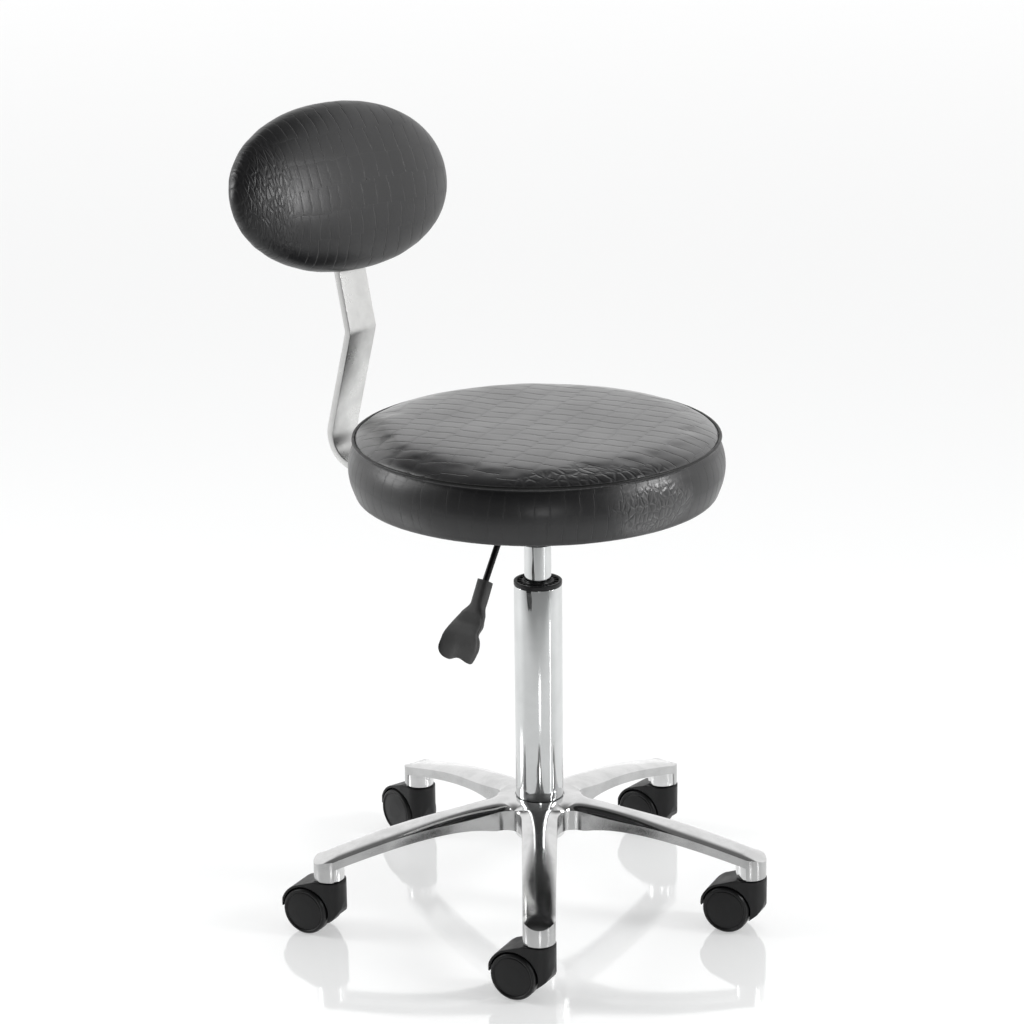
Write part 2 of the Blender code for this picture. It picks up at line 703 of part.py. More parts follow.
def make_paddle(lever, back):
    count = 14
    work = bmesh.new()
    loops = []
    for along, half_w, half_t, bow, rise in paddle_rows():
        loop = []
        for step in range(count):
            turn = 2 * math.pi * step / count
            side = math.cos(turn)
            notch = 0.009 * max(1 - abs(side) / 0.55, 0.0) * (along / PADDLE_L) ** 5
            height = rise + bow * (1 - side * side) + half_t * math.sin(turn)
            loop.append(work.verts.new((half_w * side, along - notch, height)))
        loops.append(loop)
    for first, second in zip(loops, loops[1:]):
        for j in range(count):
            following = (j + 1) % count
            work.faces.new((first[j], first[following], second[following], second[j]))
    work.faces.new(loops[0][::-1])
    for j in range(count // 2 - 1):
        work.faces.new((loops[-1][j], loops[-1][j + 1], loops[-1][-2 - j], loops[-1][(-1 - j) % count]))
    bmesh.ops.recalc_face_normals(work, faces=work.faces)
    paddle = place("lever_paddle", mesh_from("lever_paddle", work), BLACK_PLASTIC, lever, back @ paddle_frame())
    work = bmesh.new()
    drum(work, 0, 0, -0.002, ROD_IN_PADDLE + 0.0006, LEVER_ROD_R + 0.0004, sides=16)
    cutter = helper("paddle_bore_cutter", work, lever)
    cutter.matrix_local = back @ paddle_frame() @ Matrix.Rotation(-math.pi / 2, 4, "X")
    boolean(paddle, "DIFFERENCE", cutter)
    bake(paddle)


def make_pivot_pin(seat):
    at = Matrix.Translation((PIVOT_X, 0, PIVOT_Z)) @ Matrix.Rotation(math.pi / 2, 4, "X")
    pin = [
        (0, 0.0090),
        (0.0034, 0.0090),
        (0.0034, 0.0075),
        (PIVOT_R, 0.0075),
        (PIVOT_R, -0.0085),
        (0, -0.0085),
    ]
    turned("lever_pivot_pin", pin, STEEL, seat, closed=False, steps=16, matrix=at)


def bar_corners():
    """Corners of the bar's middle line in the plane x = 0, as (y, z)."""
    lean = math.tan(math.radians(BAR_LEAN_DEG))
    low_y = BAR_KINK_Y + (BAR_KINK_Z - BAR_RUN_Z) * lean
    lower = math.radians(BAR_RECLINE_DEG)
    upper = math.radians(PAD_RECLINE_DEG)
    bend = (
        BAR_KINK_Y + BAR_BEND_UP * math.sin(lower),
        BAR_KINK_Z + BAR_BEND_UP * math.cos(lower),
    )
    top = (
        bend[0] + BAR_TOP_LENGTH * math.sin(upper),
        bend[1] + BAR_TOP_LENGTH * math.cos(upper),
    )
    return [(BAR_START_Y, BAR_RUN_Z), (low_y, BAR_RUN_Z), (BAR_KINK_Y, BAR_KINK_Z), bend, top]


def bar_frame():
    """Axes of the bar's top stretch behind the pad: local X across, local Y up the bar, local Z forward."""
    recline = math.radians(PAD_RECLINE_DEG)
    up = Vector((0, math.sin(recline), math.cos(recline)))
    across = Vector((1, 0, 0))
    axes = Matrix((across, up, across.cross(up))).transposed().to_4x4()
    bend = bar_corners()[3]
    return Matrix.Translation(Vector((0, *bend)) + up * PAD_UP) @ axes


def pad_frame():
    """The pad sits on the bar turned a little about its own middle."""
    return bar_frame() @ Matrix.Rotation(math.radians(PAD_ROLL_DEG), 4, "Z")


def make_backrest_bar(seat):
    path = rounded_path(bar_corners(), [BAR_LOW_BEND_R, BAR_KINK_R, BAR_TOP_BEND_R], steps=5)
    work = bmesh.new()
    left = [work.verts.new((-BAR_W / 2, spot.x, spot.y)) for spot in path]
    right = [work.verts.new((BAR_W / 2, spot.x, spot.y)) for spot in path]
    for i in range(len(path) - 1):
        work.faces.new((left[i], right[i], right[i + 1], left[i + 1]))
    bar = place("backrest_bar", mesh_from("backrest_bar", work), SATIN_STEEL, seat)
    solid = bar.modifiers.new("thickness", "SOLIDIFY")
    solid.thickness = BAR_T
    solid.offset = 0
    solid.use_even_offset = True
    soften = bar.modifiers.new("edges", "BEVEL")
    soften.width = 0.0012
    soften.segments = 1
    soften.limit_method = "ANGLE"
    soften.angle_limit = math.radians(60)
    work = bmesh.new()
    for y in BAR_BOLT_YS:
        drum(work, 0, y, BAR_RUN_Z - 0.02, BAR_RUN_Z + 0.006, BOLT_R + GAP, sides=12)
    boolean(bar, "DIFFERENCE", helper("bar_hole_cutter", work, seat))
    work = bmesh.new()
    for up in PAD_SCREW_UPS:
        drum(work, 0, up, -0.02, 0.02, BOLT_R + GAP, sides=12)
    cutter = helper("bar_screw_cutter", work, seat)
    cutter.matrix_local = bar_frame()
    boolean(bar, "DIFFERENCE", cutter)
    bake(bar)

    low = BAR_RUN_Z - BAR_T / 2
    high = BAR_RUN_Z + BAR_T / 2 + GAP
    inner = BAR_W / 2 + GAP
    outer = inner + 0.0025
    top = PLATE_LOW_Z - GAP
    outline = [(-outer, low), (-inner, low), (-inner, high), (inner, high), (inner, low), (outer, low)]
    outline += [(outer, top), (-outer, top)]
    at = Matrix.Translation((0, 0.0645, 0))
    bracket = prism("bar_bracket", outline, 0.0280, PAINTED, seat, at)
    work = bmesh.new()
    for y in BAR_BOLT_YS:
        drum(work, 0, y, high - 0.004, top + 0.004, BOLT_R + GAP, sides=12)
    boolean(bracket, "DIFFERENCE", helper("bracket_hole_cutter", work, seat))
    bake(bracket)


def stretch_across(obj):
    """Makes a turned pad piece into an oval that is a little squarer than an ellipse."""
    for vert in obj.data.vertices:
        radius = math.hypot(vert.co.x, vert.co.y)
        if radius > 0:
            across = abs(vert.co.x / radius) ** PAD_SQUARENESS
            upward = abs(vert.co.y / radius) ** PAD_SQUARENESS
            swell = (across + upward) ** (-1 / PAD_SQUARENESS)
            vert.co.x *= swell * PAD_HALF_W / PAD_HALF_H
            vert.co.y *= swell
    return obj


def pad_outline():
    """The pad cover's outer line from its crest to the hem behind the board, at the pad's half height."""
    points = [(0, PAD_CREST_H)]
    for share in (0.42, 0.68, 0.86, 0.96):
        height = PAD_RIM_H + (PAD_CREST_H - PAD_RIM_H) * math.sqrt(1 - share**2.3)
        points.append((PAD_HALF_H * share, height))
    points.append((PAD_HALF_H, PAD_RIM_H))
    points.append((PAD_HALF_H - 0.0012, 0.0100))
    points.append((PAD_HALF_H - 0.0050, PAD_BOARD_H - GAP - COVER))
    points.append((PAD_HALF_H - 0.0220, PAD_BOARD_H - GAP - COVER))
    return points


def make_backrest_pad(seat):
    at = pad_frame()
    board_r = PAD_HALF_H - 0.0070
    board_high = PAD_BOARD_H + PAD_BOARD_T
    board = turned(
        "backrest_board",
        rod_profile(board_r, PAD_BOARD_H, board_high),
        PLYWOOD,
        seat,
        closed=False,
        steps=40,
        matrix=at,
    )
    stretch_across(board)
    work = bmesh.new()
    for up in PAD_SCREW_UPS:
        drum(work, 0, up, PAD_BOARD_H - 0.01, board_high - 0.001 + GAP, BOLT_R + GAP, sides=12)
    cutter = helper("pad_hole_cutter", work, seat)
    cutter.matrix_local = bar_frame()
    boolean(board, "DIFFERENCE", cutter)
    bake(board)

    outer = pad_outline()
    inner = inward(outer, COVER)
    inner[-1] = (outer[-1][0], outer[-1][1] + COVER)
    inner[-2] = (outer[-2][0] - 0.0006, outer[-2][1] + COVER)
    cover = turned("backrest_cover", outer + inner[::-1], VINYL, seat, closed=False, steps=40, matrix=at)
    stretch_across(cover)
    foam = inward(outer, COVER + 2 * GAP)
    low = board_high + GAP
    foam = [point for point in foam if point[1] > low] + [(board_r - 0.0005, low), (0, low)]
    stretch_across(turned("backrest_foam", foam, FOAM, seat, closed=False, steps=32, matrix=at))

    rim_h = PAD_BOARD_H - 2 * GAP - COVER
    shell = 0.0022
    panel_r = PAD_HALF_H - 0.0045
    back = []
    for share in (1.0, 0.985, 0.92, 0.70, 0.0):
        height = PAD_BACK_H + (rim_h - PAD_BACK_H) * share**7
        back.append((panel_r * share, height))
    inside = [(max(radius - shell * 0.9, 0.0), height + shell) for radius, height in back[2:]]
    inside = [(panel_r - shell, rim_h), (back[1][0] - shell, back[1][1] + 0.0006)] + inside
    panel = turned("backrest_rear_panel", inside[::-1] + back, VINYL, seat, closed=False, steps=36, matrix=at)
    stretch_across(panel)
    work = bmesh.new()
    block(work, (-BAR_W / 2 - GAP, -0.12, -BAR_T / 2 - GAP), (BAR_W / 2 + GAP, -0.05, rim_h + 0.004))
    cutter = helper("bar_slot_cutter", work, seat)
    cutter.matrix_local = bar_frame()
    boolean(panel, "DIFFERENCE", cutter)
    bake(panel)

    for number, up in enumerate(PAD_SCREW_UPS, 1):
        profile = bolt_profile(-BAR_T / 2 - GAP, board_high - 0.001, 0.0055, 0.003)
        spot = bar_frame() @ Matrix.Translation((0, up, 0))
        turned(f"backrest_screw_{number}", profile, STEEL, seat, closed=False, steps=12, matrix=spot)


def housing_side():
    """The caster housing's side outline: head, fender round the wheels, web down to the axle."""
    top = HOUSING_TOP_Z
    outline = [(-HEAD_R, 0.0360), (-HEAD_R, top - 0.002), (-HEAD_R + 0.002, top)]
    outline.append((0.0110, top))
    for degrees in (62, 46, 30, 14, 3):
        turn = math.radians(degrees)
        outline.append((AXLE_X + HOOD_R * math.cos(turn), WHEEL_R + HOOD_R * math.sin(turn)))
    outline += [(AXLE_X + HOOD_POCKET_R + 0.0002, 0.0262), (0.0335, 0.0230), (0.0270, 0.0170)]
    outline += [(0.0120, 0.0170), (0.0030, 0.0135), (-0.0050, 0.0160), (-0.0120, 0.0215), (-0.0160, 0.0285)]
    return outline


def housing_plan():
    """The housing seen from above: round in front, straight sides, softened back corners."""
    wide = HOUSING_HALF_W
    points = []
    for step in range(11):
        turn = math.radians(90 + 18 * step)
        points.append((HEAD_R * math.cos(turn), HEAD_R * math.sin(turn)))
    rear = AXLE_X + HOOD_R + 0.002
    points += [(0.012, -wide), (rear - 0.004, -wide), (rear, -wide + 0.006)]
    return points + [(rear, wide - 0.006), (rear - 0.004, wide), (0.012, wide)]


def make_housing_mesh(stool):
    body = prism("housing_shape", housing_side(), HOUSING_HALF_W + 0.001, None, stool)
    work = bmesh.new()
    face = work.faces.new([work.verts.new((x, y, 0)) for x, y in housing_plan()])
    grown = bmesh.ops.extrude_face_region(work, geom=[face])
    moved = [item for item in grown["geom"] if isinstance(item, bmesh.types.BMVert)]
    bmesh.ops.translate(work, verts=moved, vec=(0, 0, 0.08))
    plan = helper("housing_plan_shape", work, stool)
    boolean(body, "INTERSECT", plan)
    work = bmesh.new()
    for side in (-1, 1):
        middle = side * (WEB_HALF_W + 0.015)
        spot = Matrix.Translation((AXLE_X, middle, WHEEL_R)) @ Matrix.Rotation(math.pi / 2, 4, "X")
        bmesh.ops.create_cone(
            work,
            cap_ends=True,
            segments=28,
            radius1=HOOD_POCKET_R,
            radius2=HOOD_POCKET_R,
            depth=0.030,
            matrix=spot,
        )
    pockets = helper("wheel_pocket_cutter", work, stool)
    boolean(body, "DIFFERENCE", pockets)
    work = bmesh.new()
    drum(work, 0, 0, STEM_LOW_Z - GAP, 0.08, STEM_LOW_R + GAP, sides=14)
    spot = Matrix.Translation((AXLE_X, 0, WHEEL_R)) @ Matrix.Rotation(math.pi / 2, 4, "X")
    bmesh.ops.create_cone(
        work, cap_ends=True, segments=12, radius1=AXLE_R + GAP, radius2=AXLE_R + GAP, depth=0.04, matrix=spot
    )
    bores = helper("housing_bore_cutter", work, stool)
    boolean(body, "DIFFERENCE", bores)
    bake(body)
    mesh = body.data
    for used in (body, plan, pockets, bores):
        bpy.data.objects.remove(used, do_unlink=True)
    return mesh


def wheel_profile():
    """A wheel turned about the axle: height here is the distance out from the caster's middle."""
    return [
        (0, WHEEL_OUT_Y - 0.0006),
        (0.0215, WHEEL_OUT_Y),
        (0.0238, WHEEL_OUT_Y - 0.0010),
        (WHEEL_R, WHEEL_OUT_Y - 0.0032),
        (WHEEL_R, WHEEL_IN_Y + 0.001),
        (WHEEL_R - 0.001, WHEEL_IN_Y),
        (AXLE_R + 0.0004, WHEEL_IN_Y),
        (AXLE_R + 0.0004, WHEEL_OUT_Y - 0.0035),
        (0, WHEEL_OUT_Y - 0.0035),
    ]


def make_casters(stool):
    housing = make_housing_mesh(stool)
    stem = [
        (0, STEM_TOP_Z),
        (STEM_R - 0.001, STEM_TOP_Z),
        (STEM_R, STEM_TOP_Z - 0.0015),
        (STEM_R, HOUSING_TOP_Z + GAP),
        (STEM_LOW_R, HOUSING_TOP_Z + GAP),
        (STEM_LOW_R, STEM_LOW_Z),
        (0, STEM_LOW_Z),
    ]
    out_left = Matrix.Rotation(-math.pi / 2, 4, "X")
    out_right = Matrix.Rotation(math.pi / 2, 4, "X")
    half_axle = WHEEL_OUT_Y - 0.0040
    for k in range(LEGS):
        name = f"caster_{k + 1}"
        caster = empty(name, stool, (*stem_place(k), 0), math.radians(CASTER_TRAIL_DEGS[k]))
        turned(f"{name}_stem", stem, STEEL, caster, closed=False, steps=14)
        place(f"{name}_housing", housing, BLACK_PLASTIC, caster)
        axle = empty(f"{name}_axle_line", caster, (AXLE_X, 0, WHEEL_R))
        shaft = rod_profile(AXLE_R, -half_axle, half_axle)
        turned(f"{name}_axle", shaft, STEEL, axle, closed=False, steps=12, matrix=out_left)
        turned(f"{name}_wheel_left", wheel_profile(), TREAD, axle, closed=False, steps=24, matrix=out_left)
        turned(f"{name}_wheel_right", wheel_profile(), TREAD, axle, closed=False, steps=24, matrix=out_right)


clear_scene()
PARTS = collection("rolling_stylist_stool")
CUTTERS = collection("cutters")
POLISHED = material("polished_aluminium", (0.80, 0.80, 0.81), 0.16, 1.0)
CHROME = material("chrome", (0.82, 0.82, 0.83), 0.08, 1.0)
STEEL = material("zinc_steel", (0.55, 0.55, 0.56), 0.35, 1.0)
SATIN_STEEL = material("satin_steel", (0.66, 0.66, 0.67), 0.24, 1.0)
BLACK_STEEL = material("black_steel", (0.02, 0.02, 0.02), 0.40, 0.6)
PAINTED = material("black_painted_steel", (0.03, 0.03, 0.03), 0.45)
BLACK_PLASTIC = material("black_plastic", (0.025, 0.025, 0.026), 0.42)
TREAD = material("black_tread", (0.035, 0.035, 0.036), 0.50)
RUBBER = material("bumper_rubber", (0.02, 0.02, 0.02), 0.70)
VINYL = material("embossed_vinyl", (0.035, 0.035, 0.036), 0.32)
FOAM = material("foam", (0.75, 0.70, 0.55), 0.90)
PLYWOOD = material("plywood", (0.55, 0.40, 0.24), 0.70)

STOOL = empty("stool", at=(COLUMN_X, COLUMN_Y, 0))
SPINDLE = empty("spindle", STOOL)
SEAT = empty("seat", SPINDLE)
LEVER = empty("lever", SEAT, (PIVOT_X, 0, PIVOT_Z))

make_base_star(STOOL)
make_column(STOOL)
make_piston(SPINDLE)
make_gas_cylinder(SEAT)
make_seat_frame(SEAT)
make_seat_cushion(SEAT)
make_pivot_pin(SEAT)
make_lever(LEVER)
make_backrest_bar(SEAT)
make_backrest_pad(SEAT)
make_casters(STOOL)
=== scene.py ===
"""Rolling stylist stool: detailed surfaces, materials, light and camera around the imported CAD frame."""

import json
import math

import bmesh
import bpy
import numpy as np
from mathutils import Matrix, Vector, noise


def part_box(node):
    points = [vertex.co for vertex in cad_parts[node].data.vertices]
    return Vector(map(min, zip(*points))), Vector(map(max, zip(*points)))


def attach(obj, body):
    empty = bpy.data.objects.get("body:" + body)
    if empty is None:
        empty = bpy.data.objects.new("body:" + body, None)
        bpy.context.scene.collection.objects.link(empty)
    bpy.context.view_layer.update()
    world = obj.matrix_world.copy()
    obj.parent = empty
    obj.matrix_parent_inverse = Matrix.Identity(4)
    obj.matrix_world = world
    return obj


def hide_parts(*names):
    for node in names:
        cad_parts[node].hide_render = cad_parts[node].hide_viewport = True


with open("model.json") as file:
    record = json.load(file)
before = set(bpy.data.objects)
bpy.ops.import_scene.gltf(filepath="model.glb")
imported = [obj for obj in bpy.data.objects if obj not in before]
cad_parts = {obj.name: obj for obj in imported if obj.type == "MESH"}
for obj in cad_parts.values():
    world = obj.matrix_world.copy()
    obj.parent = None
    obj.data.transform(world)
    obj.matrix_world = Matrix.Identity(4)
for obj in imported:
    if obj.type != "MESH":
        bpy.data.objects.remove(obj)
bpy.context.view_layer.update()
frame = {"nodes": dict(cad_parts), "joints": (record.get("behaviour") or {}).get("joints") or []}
JOINTS = {joint["name"]: joint for joint in frame["joints"]}

TUBE_LOW, TUBE_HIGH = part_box("column_tube")
COLUMN = Vector(((TUBE_LOW.x + TUBE_HIGH.x) / 2, (TUBE_LOW.y + TUBE_HIGH.y) / 2, 0))
TUBE_R = (TUBE_HIGH.x - TUBE_LOW.x) / 2
TUBE_TOP_Z = TUBE_HIGH.z
AT_COLUMN = Matrix.Translation(COLUMN)
GAP = 0.0003
SEGMENTS = 128

# Die-cast base.
LEGS = 5
FIRST_LEG_DEG = -142.9
STEM_CIRCLE_R = 0.229
HUB_TOP_Z = 0.1230
HUB_RING_R = 0.0262
ARCH_START_R = 0.0253
HUB_R = 0.0270
HUB_BOTTOM_Z = 0.0790
HUB_BORE_TOP_R = 0.0223
HUB_BORE_BOTTOM_R = 0.0215
WEB_FILLET_R = 0.020
LEG_ROOT_HALF_W = 0.0185
LEG_TIP_HALF_W = 0.0165
LEG_WALL = 0.003
LIP_R = 0.0011
BOSS_BOTTOM_Z = 0.060
BOSS_R = 0.0154
BOSS_TOP_Z = 0.0772
STEM_R = 0.0055
LIP_START_R = 0.04

# Column.
TUBE_BORE_R = 0.0232
BUSH_RIBS = 20
BUSH_TAB_DEG = -165.0
TAPER_Z = 0.401

# Seat and pad covers.
SEAT_LOW_Z = 0.4550
SEAT_PIPING_Z = 0.5155
SEAT_PIPING_R = 0.1862
PIPING_CORD_R = 0.0017
SEAT_CREST_Z = 0.5288
SEAT_R = 0.1925
COVER = 0.0012
PUMP_PRESSURE = 2.5
PUMP_FRAMES = 20
SEAT_SWELL = 0.0009
PAD_SWELL = 0.0014

# Lever.
LEVER_Z = 0.4461
LEVER_START_X = -0.0388
LEVER_CORNER_X = -0.047
LEVER_FALL_DEG = 58.0
LEVER_BEND_R = 0.010
LEVER_ROD_R = 0.0033
SLEEVE_FROM_CORNER = 0.075
ROD_IN_PADDLE = 0.0225

# Backrest bar and pad.
BAR_W = 0.042
BAR_T = 0.008
BAR_EDGE_R = 0.0011
BAR_START_Y = 0.035
BAR_RUN_Z = 0.4460
BAR_LEAN_DEG = 14.6
BAR_KINK = (0.2317, 0.592)
BAR_RECLINE_DEG = 11.8
BAR_BEND_UP = 0.068
BAR_TOP_LENGTH = 0.120
BAR_BEND_RADII = (0.032, 0.014, 0.040)
BAR_BOLT_YS = (0.055, 0.080)
PAD_RECLINE_DEG = 17.0
PAD_ROLL_DEG = -3.0
PAD_UP = 0.082
PAD_HALF_W = 0.1622
PAD_HALF_H = 0.0880
PAD_SQUARENESS = 2.09
PAD_BOARD_H = 0.0058
PAD_RIM_H = 0.0185
PAD_CREST_H = 0.0525
PAD_BACK_H = -0.0145
PANEL_WALL = 0.0022
PAD_SCREW_UPS = (-0.022, 0.022)
BOLT_R = 0.003

# Casters: local +X is the trailing side, local Y the axle, origin on the floor under the stem.
WHEEL_R = 0.025
WHEEL_IN_Y = 0.0070
WHEEL_OUT_Y = 0.0205
AXLE_X = 0.0205
AXLE_R = 0.003
HOOD_R = 0.0290
HOOD_POCKET_R = 0.0263
HOUSING_HALF_W = 0.0185
HEAD_R = 0.0172
WEB_HALF_W = 0.0063
HOUSING_TOP_Z = 0.0590
STEM_LOW_R = 0.0040
STEM_LOW_Z = 0.0335


# ---- mesh tools


def piece(name, work, looks, matrix=None, sharp=38):
    """A mesh object from a bmesh, placed in world coordinates, smooth except at sharp edges."""
    bmesh.ops.recalc_face_normals(work, faces=work.faces)
    mesh = bpy.data.meshes.new(name)
    work.to_mesh(mesh)
    work.free()
    if matrix is not None:
        mesh.transform(matrix)
    obj = bpy.data.objects.new(name, mesh)
    bpy.context.scene.collection.objects.link(obj)
    for look in looks:
        mesh.materials.append(look)
    smooth(obj, sharp)
    return obj


def smooth(obj, sharp=38):
    obj.data.shade_smooth()
    obj.data.set_sharp_from_angle(angle=math.radians(sharp))


def settle(obj, sharp=38):
    """Turns the object's modifiers into its mesh."""
    bpy.context.view_layer.update()
    graph = bpy.context.evaluated_depsgraph_get()
    mesh = bpy.data.meshes.new_from_object(obj.evaluated_get(graph))
    obj.modifiers.clear()
    obj.data = mesh
    smooth(obj, sharp)
    return obj


def stand_in(obj, body, *nodes):
    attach(obj, body)
    if nodes:
        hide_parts(*nodes)
    return obj


def bridge(work, loops, closed=False):
    """Joins each loop of vertices to the next one. A loop of one vertex is a point."""
    pairs = list(zip(loops, loops[1:]))
    if closed:
        pairs.append((loops[-1], loops[0]))
    for first, second in pairs:
        for j in range(max(len(first), len(second))):
            ends = ((first, j), (second, j), (second, j + 1), (first, j + 1))
            face = dict.fromkeys(loop[i % len(loop)] for loop, i in ends)
            if len(face) > 2:
                work.faces.new(tuple(face))


def lathe(work, profile, segments=SEGMENTS, matrix=Matrix.Identity(4), closed=False):
    """Turns a (radius, height) line about local Z. A closed line makes a ring."""
    rings = []
    for radius, height in profile:
        count = segments if radius > 1e-7 else 1
        turns = [2 * math.pi * j / segments for j in range(count)]
        spots = [Vector((radius * math.cos(t), radius * math.sin(t), height)) for t in turns]
        rings.append([work.verts.new(matrix @ spot) for spot in spots])
    bridge(work, rings, closed)
    return rings


def fillet(corners, steps=4, closed=True):
    """A 2-D line through (x, y, radius) corners, each turned into an arc; radius 0 keeps it sharp."""
    count = len(corners)
    path = []
    for i, (x, y, radius) in enumerate(corners):
        corner = Vector((x, y))
        if radius == 0 or (not closed and i in (0, count - 1)):
            path.append(corner)
            continue
        before = Vector(corners[i - 1][:2]) - corner
        after = Vector(corners[(i + 1) % count][:2]) - corner
        back = before.normalized()
        ahead = after.normalized()
        half = back.angle(ahead) / 2
        reach = min(radius / math.tan(half), before.length * 0.49, after.length * 0.49)
        used = reach * math.tan(half)
        centre = corner + (back + ahead).normalized() * (used / math.sin(half))
        start = corner + back * reach - centre
        end = corner + ahead * reach - centre
        turn = math.atan2(start.x * end.y - start.y * end.x, start.dot(end))
        for step in range(steps + 1):
            path.append(centre + Matrix.Rotation(turn * step / steps, 2) @ start)
    return path


def sweep(work, section, frames):
    """Carries a closed 2-D section along frames given as 4x4 matrices, with flat ends."""
    loops = [[work.verts.new(at @ Vector((x, y, 0))) for x, y in section] for at in frames]
    bridge(work, loops)
    work.faces.new(loops[0])
    work.faces.new(loops[-1])


def prism(work, outline, depth):
    """A closed outline of points, pushed out by a vector."""
    face = work.faces.new([work.verts.new(point) for point in outline])
    grown = bmesh.ops.extrude_face_region(work, geom=[face])
    moved = [item for item in grown["geom"] if isinstance(item, bmesh.types.BMVert)]
    bmesh.ops.translate(work, verts=moved, vec=depth)


def drum(work, x, y, low, high, radius, sides=48, top_radius=None, at=Matrix.Identity(4)):
    """A closed cylinder along local Z, or a cone where it has a top radius."""
    bmesh.ops.create_cone(
        work,
        cap_ends=True,
        segments=sides,
        radius1=radius,
        radius2=radius if top_radius is None else top_radius,
        depth=high - low,
        matrix=at @ Matrix.Translation((x, y, (low + high) / 2)),
    )


def cut(obj, operation, work, matrix=None):
    """Applies an exact Boolean with a helper mesh, which is then removed."""
    bmesh.ops.recalc_face_normals(work, faces=work.faces)
    mesh = bpy.data.meshes.new("helper")
    work.to_mesh(mesh)
    work.free()
    if matrix is not None:
        mesh.transform(matrix)
    other = bpy.data.objects.new("helper", mesh)
    bpy.context.scene.collection.objects.link(other)
    modifier = obj.modifiers.new("cut", "BOOLEAN")
    modifier.operation = operation
    modifier.solver = "EXACT"
    modifier.object = other
    settle(obj)
    bpy.data.objects.remove(other, do_unlink=True)
    return obj


def smoothstep(low, high, x):
    t = min(max((x - low) / (high - low), 0.0), 1.0)
    return t * t * (3 - 2 * t)


# ---- materials

# The hide: its random pattern, how far the top's rows are turned, and where the small scales show.
HIDE_SEED = 3.0
HIDE_TURN_DEG = 15.0
TOP_SCALES_DEG = -129.0
SIDE_SCALES_DEG = -105.0


class Nodes:
    """Short ways to add shader nodes to a tree. A value is a number, a vector or another node's output."""

    def __init__(self, tree):
        self.tree = tree

    def fill(self, target, value):
        if isinstance(value, bpy.types.NodeSocket):
            self.tree.links.new(value, target)
        else:
            target.default_value = value

    def node(self, kind, inputs=(), **settings):
        made = self.tree.nodes.new("ShaderNode" + kind)
        for key, value in settings.items():
            setattr(made, key, value)
        for key, value in dict(inputs).items():
            self.fill(made.inputs[key], value)
        return made

    def math(self, operation, first, second=0.0, third=0.0):
        return self.node("Math", {0: first, 1: second, 2: third}, operation=operation).outputs[0]

    def plus(self, first, second):
        return self.math("ADD", first, second)

    def minus(self, first, second):
        return self.math("SUBTRACT", first, second)

    def times(self, first, second, added=0.0):
        return self.math("MULTIPLY_ADD", first, second, added)

    def between(self, share, first, second):
        """A number from first to second as share goes from 0 to 1."""
        return self.node("Mix", {0: share, 2: first, 3: second}).outputs[0]

    def remap(self, value, low, high, to_low=0.0, to_high=1.0):
        """A smooth step between low and high."""
        inputs = {"Value": value, "From Min": low, "From Max": high, "To Min": to_low, "To Max": to_high}
        return self.node("MapRange", inputs, interpolation_type="SMOOTHSTEP").outputs["Result"]


class Look(Nodes):
    """A material with one Principled shader."""

    def __init__(self, name, colour, roughness, metallic=0.0, **values):
        self.material = bpy.data.materials.new(name)
        self.material.use_nodes = True
        super().__init__(self.material.node_tree)
        self.shader = self.tree.nodes["Principled BSDF"]
        self.put("Base Color", (*colour, 1.0))
        self.put("Roughness", roughness)
        self.put("Metallic", metallic)
        for socket, value in values.items():
            self.put(socket.replace("_", " "), value)

    def put(self, socket, value):
        self.fill(self.shader.inputs[socket], value)

    def spot(self):
        return self.node("TexCoord").outputs["Object"]

    def noise(self, scale, detail=2.0, rough=0.5, vector=None, output="Fac"):
        inputs = {"Vector": vector or self.spot(), "Scale": scale, "Detail": detail, "Roughness": rough}
        return self.node("TexNoise", inputs).outputs[output]

    def stretched(self, scale, vector=None):
        return self.node("Mapping", {"Vector": vector or self.spot(), "Scale": scale}).outputs[0]

    def blend(self, share, first, second):
        """A colour from first, which may be another node's output, to second."""
        if not isinstance(first, bpy.types.NodeSocket):
            first = (*first, 1.0)
        return self.node("Mix", {0: share, 6: first, 7: (*second, 1.0)}, data_type="RGBA").outputs[2]

    def bump(self, height, distance, strength=1.0, under=None):
        inputs = {"Height": height, "Distance": distance, "Strength": strength}
        if under is not None:
            inputs["Normal"] = under
        return self.node("Bump", inputs).outputs["Normal"]


def metal(name, colour, low_rough, high_rough, wave, wave_scale, scratch=0.0, dull=0.88):
    """Metal with uneven polish, faint waviness and fine scratches."""
    look = Look(name, colour, low_rough, 1.0)
    cloud = look.noise(38.0, 4.0, 0.6)
    mixed = look.times(look.noise(420.0, 3.0, 0.6), 0.35, look.times(cloud, 0.65))
    look.put("Roughness", look.remap(mixed, 0.32, 0.68, low_rough, high_rough))
    darker = tuple(part * dull for part in colour)
    look.put("Base Color", look.blend(look.remap(cloud, 0.35, 0.70), colour, darker))
    normal = look.bump(look.noise(wave_scale, 1.0, 0.4), wave)
    if scratch:
        lines = look.noise(90.0, 3.0, 0.6, look.stretched((1.0, 1.0, 60.0)))
        normal = look.bump(lines, scratch, 1.0, normal)
    look.put("Normal", normal)
    return look.material


def plastic(name, colour, roughness, grain, grain_scale):
    """Moulded plastic, rubber or paint with a fine grain and slightly scuffed, lighter patches."""
    look = Look(name, colour, roughness, Specular_IOR_Level=0.33)
    cloud = look.noise(60.0, 3.0, 0.6)
    look.put("Roughness", look.remap(cloud, 0.3, 0.7, roughness - 0.05, roughness + 0.07))
    lighter = tuple(part * 1.3 + 0.001 for part in colour)
    look.put("Base Color", look.blend(look.remap(cloud, 0.45, 0.75), colour, lighter))
    look.put("Normal", look.bump(look.noise(grain_scale, 2.0, 0.6), grain))
    return look.material


